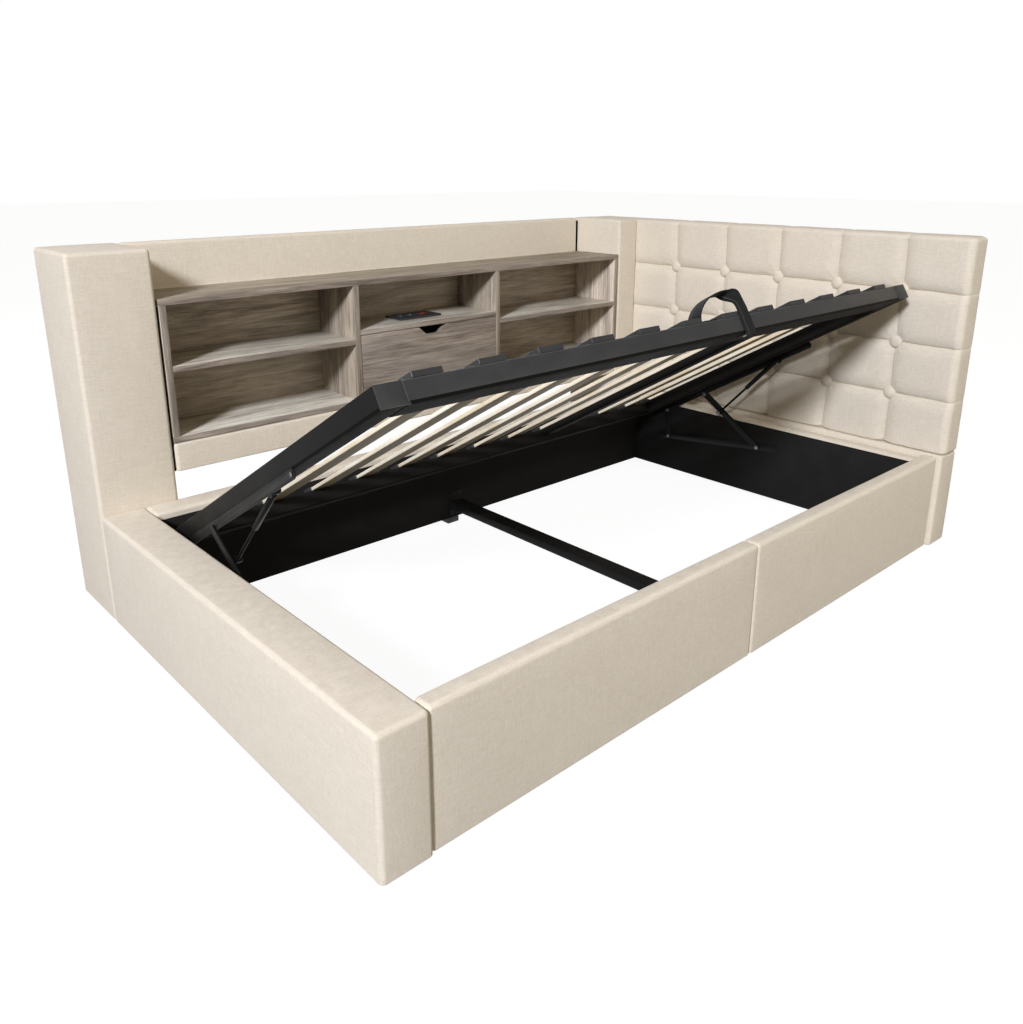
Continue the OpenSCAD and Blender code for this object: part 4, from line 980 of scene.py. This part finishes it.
class BED_OT_well(bpy.types.Operator):
    """Black liners, base beam, brackets, glides and the middle foot"""

    bl_idname = "bed.well"
    bl_label = "Storage well"

    def execute(self, context):
        for nodes, ending, finish, slot_name, width in WELL:
            for node in nodes:
                dress(node, node + ending, finish, BED, width)
        return {"FINISHED"}


# Lift frame and its arms

CAP_PROUD = 0.0012
CAP_THICK = 0.004


def pin_head(face):
    """Whether a face is the round end of a pin or bolt."""
    radius = math.sqrt(face.calc_area() / math.pi)
    return abs(face.normal.x) > 0.99 and 0.005 < radius < 0.008


class BED_OT_arms(bpy.types.Operator):
    """Lift arms, their base plates and the plates on the frame"""

    bl_idname = "bed.arms"
    bl_label = "Lift arms"

    def execute(self, context):
        for node, body in ARMS:
            dress(
                node, node + "_pressed", ("arm paint", "pin steel"), body, 0.0006,
                marked=pin_head)
        return {"FINISHED"}


class BED_OT_struts(bpy.types.Operator):
    """Cylinders and rods of the gas struts"""

    bl_idname = "bed.struts"
    bl_label = "Gas struts"

    def execute(self, context):
        for end in ("foot", "head"):
            for part, ending, width in (("cylinder", "_painted", 0.0006), ("rod", "_blackened", 0.0005)):
                node = end + "_strut_" + part
                dress(node, node + ending, "strut paint", node, width)
        return {"FINISHED"}


def level_box(node):
    """A lift frame node's box in the frame's own level axes."""
    return box_of([RAISED_TO_LEVEL @ vert.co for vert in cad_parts[node].data.vertices])


def level_parts(node):
    """The boxes of a lift frame node's separate solids, in level axes."""
    bm = merged(node)
    bmesh.ops.transform(bm, matrix=RAISED_TO_LEVEL, verts=bm.verts)
    boxes = []
    seen = set()
    for first in bm.verts:
        if first in seen:
            continue
        island = [first]
        seen.add(first)
        for vert in island:
            for edge in vert.link_edges:
                other = edge.other_vert(vert)
                if other not in seen:
                    seen.add(other)
                    island.append(other)
        boxes.append(box_of([vert.co for vert in island]))
    bm.free()
    return boxes


class BED_OT_lift_tubes(bpy.types.Operator):
    """Square tubes of the lift frame and the caps in their ends"""

    bl_idname = "bed.lift_tubes"
    bl_label = "Lift frame tubes"

    def execute(self, context):
        for node in ("lift_front_tube", "lift_rear_tube", "lift_side_tubes", "lift_cross_tube"):
            bm = bmesh.new()
            for low, high in level_parts(node):
                block(bm, low, high)
            bm.normal_update()
            # Faces turned down and their rounded edges take the near-black finish, painted shade.
            mark_faces(bm, lambda face: face.normal.z < -FACING)
            under = [edge for edge in bm.edges if any(face.material_index for face in edge.link_faces)]
            ease_edges(bm, 0.0060, 4, under, bevel_finish=1)
            front = node == "lift_front_tube"
            # The front tube's rounded edges take the paler finish, a painted highlight.
            ease_edges(bm, 0.0032, 3, bevel_finish=2 if front else 0)
            # The tubes behind the front one take the darker coat, painted shade.
            finish = "black powder coat" if front else "dark coat"
            piece(
                node + "_coated", bm, (finish, "uncoated underside", "worn edge"), LIFT,
                [node], world=LEVEL_TO_RAISED)

        bm = bmesh.new()
        frame_low, frame_high = level_box("tube_caps")
        for low, high in level_parts("tube_caps"):
            front = low.y + high.y < frame_low.y + frame_high.y
            low -= Vector((CAP_PROUD, 0, CAP_PROUD))
            high += Vector((CAP_PROUD, 0, CAP_PROUD))
            if front:
                low.y -= CAP_PROUD
                high.y = low.y + CAP_THICK
            else:
                high.y += CAP_PROUD
                low.y = high.y - CAP_THICK
            block(bm, low, high)
        ease_edges(bm, 0.0011)
        piece(
            "tube_caps_moulded", bm, "black powder coat", LIFT, ["tube_caps"],
            world=LEVEL_TO_RAISED)
        return {"FINISHED"}


class BED_OT_slats(bpy.types.Operator):
    """Flat slats and the holders over their ends"""

    bl_idname = "bed.slats"
    bl_label = "Slats"

    def execute(self, context):
        down = LEVEL_TO_RAISED @ Vector((0, 0, -1))
        dress(
            # Faces turned down take the darker slat colour, painted shade.
            "slats", "slats_sawn", ("poplar slat", "slat underside"), LIFT, 0.0016,
            marked=lambda face: face.normal.dot(down) > FACING)
        for node in ("front_slat_holders", "rear_slat_holders"):
            dress(node, node + "_moulded", "black powder coat", LIFT, 0.0006, segments=1)
        return {"FINISHED"}


# Pull strap: steps along each stretch, shares of the way down where it crosses the tube's edge and
# twists, and the webbing's section in half widths and half thicknesses

LOOP_STEPS = 64
LEG_STEPS = 6
TAB_STEPS = 12
FOLD_STEPS = 4
OVER_EDGE = 0.7
TWIST_START = 0.08
TWIST_RUN = 0.62
PROBE = 0.004
WEBBING_HALF = (
    (-1.0, 0.0), (-0.985, 0.8), (-0.93, 1.0), (-0.55, 1.0), (-0.5, 1.22), (-0.45, 1.0), (0.0, 1.04),
    (0.5, 1.0), (0.93, 1.0), (0.985, 0.8),
)
WEBBING_SECTION = WEBBING_HALF + tuple((-u, -v) for u, v in WEBBING_HALF)


class StrapRoute:
    """The pull strap's loop in level axes: up from its standing end, over, and down the tube's face."""

    def __init__(self, strap):
        tube_low, tube_high = level_box("lift_front_tube")
        low, high = level_box("pull_strap")
        self.strap = strap
        self.start_x = low.x + strap.thick / 2
        self.reach = high.x - strap.width / 2 - self.start_x
        self.base_z = tube_high.z + strap.thick / 2
        self.rise = high.z - strap.thick / 2 - self.base_z
        self.stand_y = tube_low.y + strap.inset
        self.face_y = tube_low.y - strap.gap - strap.thick / 2
        self.leg = tube_high.z - tube_low.z + strap.gap + strap.thick / 2

    def up(self, f):
        return QUARTER * min(1.0, f / self.strap.peak)

    def down(self, f):
        return max(0.0, (f - self.strap.peak) / (1 - self.strap.peak))

    def place(self, f):
        turn = QUARTER * self.down(f)
        x = self.start_x + (self.reach - self.strap.turn) * (1 - math.cos(self.up(f)))
        x += self.strap.turn * math.sin(turn)
        y = self.stand_y + (self.face_y - self.stand_y) * ease(self.down(f) / OVER_EDGE)
        z = self.base_z + self.rise * math.sin(self.up(f)) ** 1.2 * math.cos(turn)
        return Vector((x, y, z))

    def axes(self, f):
        """Directions across the webbing and through it."""
        before, after = self.place(max(0.0, f - PROBE)), self.place(min(1.0, f + PROBE))
        normal = Vector((before.z - after.z, 0, after.x - before.x)).normalized()
        twist = QUARTER * ease((self.down(f) - TWIST_START) / TWIST_RUN)
        across = math.cos(twist) * Vector((0, -1, 0)) + math.sin(twist) * normal
        through = math.cos(twist) * normal + math.sin(twist) * Vector((0, 1, 0))
        return across, through


def webbing(bm, rings, width, thick):
    """Adds a band along rings of middle, across and through, and writes its own lengths to it."""
    along_layer = bm.verts.layers.float.get("along") or bm.verts.layers.float.new("along")
    across_layer = bm.verts.layers.float.get("across") or bm.verts.layers.float.new("across")
    along = 0.0
    before = None
    made = []
    for middle, across, through in rings:
        if before is not None:
            along += (middle - before).length
        before = middle
        ring = []
        for u, v in WEBBING_SECTION:
            vert = bm.verts.new(middle + across * (u * width / 2) + through * (v * thick / 2))
            vert[along_layer] = along
            vert[across_layer] = u * width / 2
            ring.append(vert)
        made.append(ring)
    count = len(WEBBING_SECTION)
    for first, second in zip(made, made[1:]):
        for k in range(count):
            n = (k + 1) % count
            bm.faces.new((first[k], second[k], second[n], first[n]))
    bm.faces.new(list(reversed(made[0])))
    bm.faces.new(made[-1])


class BED_OT_strap(bpy.types.Operator):
    """Webbing pull strap and its rivets"""

    bl_idname = "bed.strap"
    bl_label = "Pull strap"

    def execute(self, context):
        strap = context.scene.bed_strap
        route = StrapRoute(strap)
        bm = bmesh.new()
        rings = [(route.place(k / LOOP_STEPS), *route.axes(k / LOOP_STEPS)) for k in range(LOOP_STEPS + 1)]
        foot, across, through = rings[-1]
        for k in range(1, LEG_STEPS + 1):
            rings.append((foot - Vector((0, 0, route.leg * k / LEG_STEPS)), across, through))
        webbing(bm, rings, strap.width, strap.thick)

        flat, up, side = Vector((0, -1, 0)), Vector((0, 0, 1)), Vector((1, 0, 0))
        tab = []
        for k in range(TAB_STEPS + 1):
            x = route.start_x + strap.tab * k / TAB_STEPS
            short = max(0.0, x - (route.start_x + strap.tab - strap.width / 2))
            share = math.sqrt(max(0.02, 1 - (short / (strap.width / 2)) ** 2))
            tab.append((Vector((x, route.stand_y, route.base_z)), flat * share, up))
        webbing(bm, tab, strap.width, strap.thick)

        under_z = level_box("pull_strap")[0].z + strap.thick / 2
        fold_y = level_box("lift_front_tube")[0].y - strap.gap - strap.thick * 0.9
        fold = []
        for k in range(FOLD_STEPS + 1):
            fold.append((Vector((foot.x, fold_y + strap.fold * k / FOLD_STEPS, under_z)), side, up))
        webbing(bm, fold, strap.width, strap.thick)
        piece(
            "pull_strap_webbing", bm, "black webbing", LIFT, ["pull_strap"],
            sharp=math.radians(50), world=LEVEL_TO_RAISED)
        dress("strap_rivets", "strap_rivets_domed", "zinc steel", LIFT, 0.0008)
        return {"FINISHED"}


class BED_PT_parts(bpy.types.Panel):
    """Lists the bed's pieces"""

    bl_label = "Ottoman storage bed"
    bl_idname = "BED_PT_parts"
    bl_space_type = "VIEW_3D"
    bl_region_type = "UI"
    bl_category = "Bed"

    def draw(self, context):
        for operator in OPERATORS:
            self.layout.operator(operator.bl_idname)
        for name, _ in GROUPS:
            settings = getattr(context.scene, name)
            for prop in settings.bl_rna.properties:
                if not prop.is_readonly and prop.identifier != "name":
                    self.layout.prop(settings, prop.identifier)


GROUPS = (
    ("bed_cloth", BedCloth), ("bed_tufts", BedTufts), ("bed_strap", BedStrap),
    ("bed_finishes", BedFinishes), ("bed_stage", BedStage),
)
OPERATORS = (
    BED_OT_stage, BED_OT_panels, BED_OT_headboard, BED_OT_bookshelf, BED_OT_drawer, BED_OT_outlet,
    BED_OT_well, BED_OT_arms, BED_OT_struts, BED_OT_lift_tubes, BED_OT_slats, BED_OT_strap,
)


def register():
    for name, group in GROUPS:
        bpy.utils.register_class(group)
        setattr(bpy.types.Scene, name, PointerProperty(type=group))
    for operator in OPERATORS:
        bpy.utils.register_class(operator)
    bpy.utils.register_class(BED_PT_parts)


def unregister():
    bpy.utils.unregister_class(BED_PT_parts)
    for operator in reversed(OPERATORS):
        bpy.utils.unregister_class(operator)
    for name, group in reversed(GROUPS):
        delattr(bpy.types.Scene, name)
        bpy.utils.unregister_class(group)


def main():
    register()
    make_materials(bpy.context.scene)
    for operator in OPERATORS:
        group, name = operator.bl_idname.split(".")
        getattr(getattr(bpy.ops, group), name)()


if __name__ == "__main__":
    main()
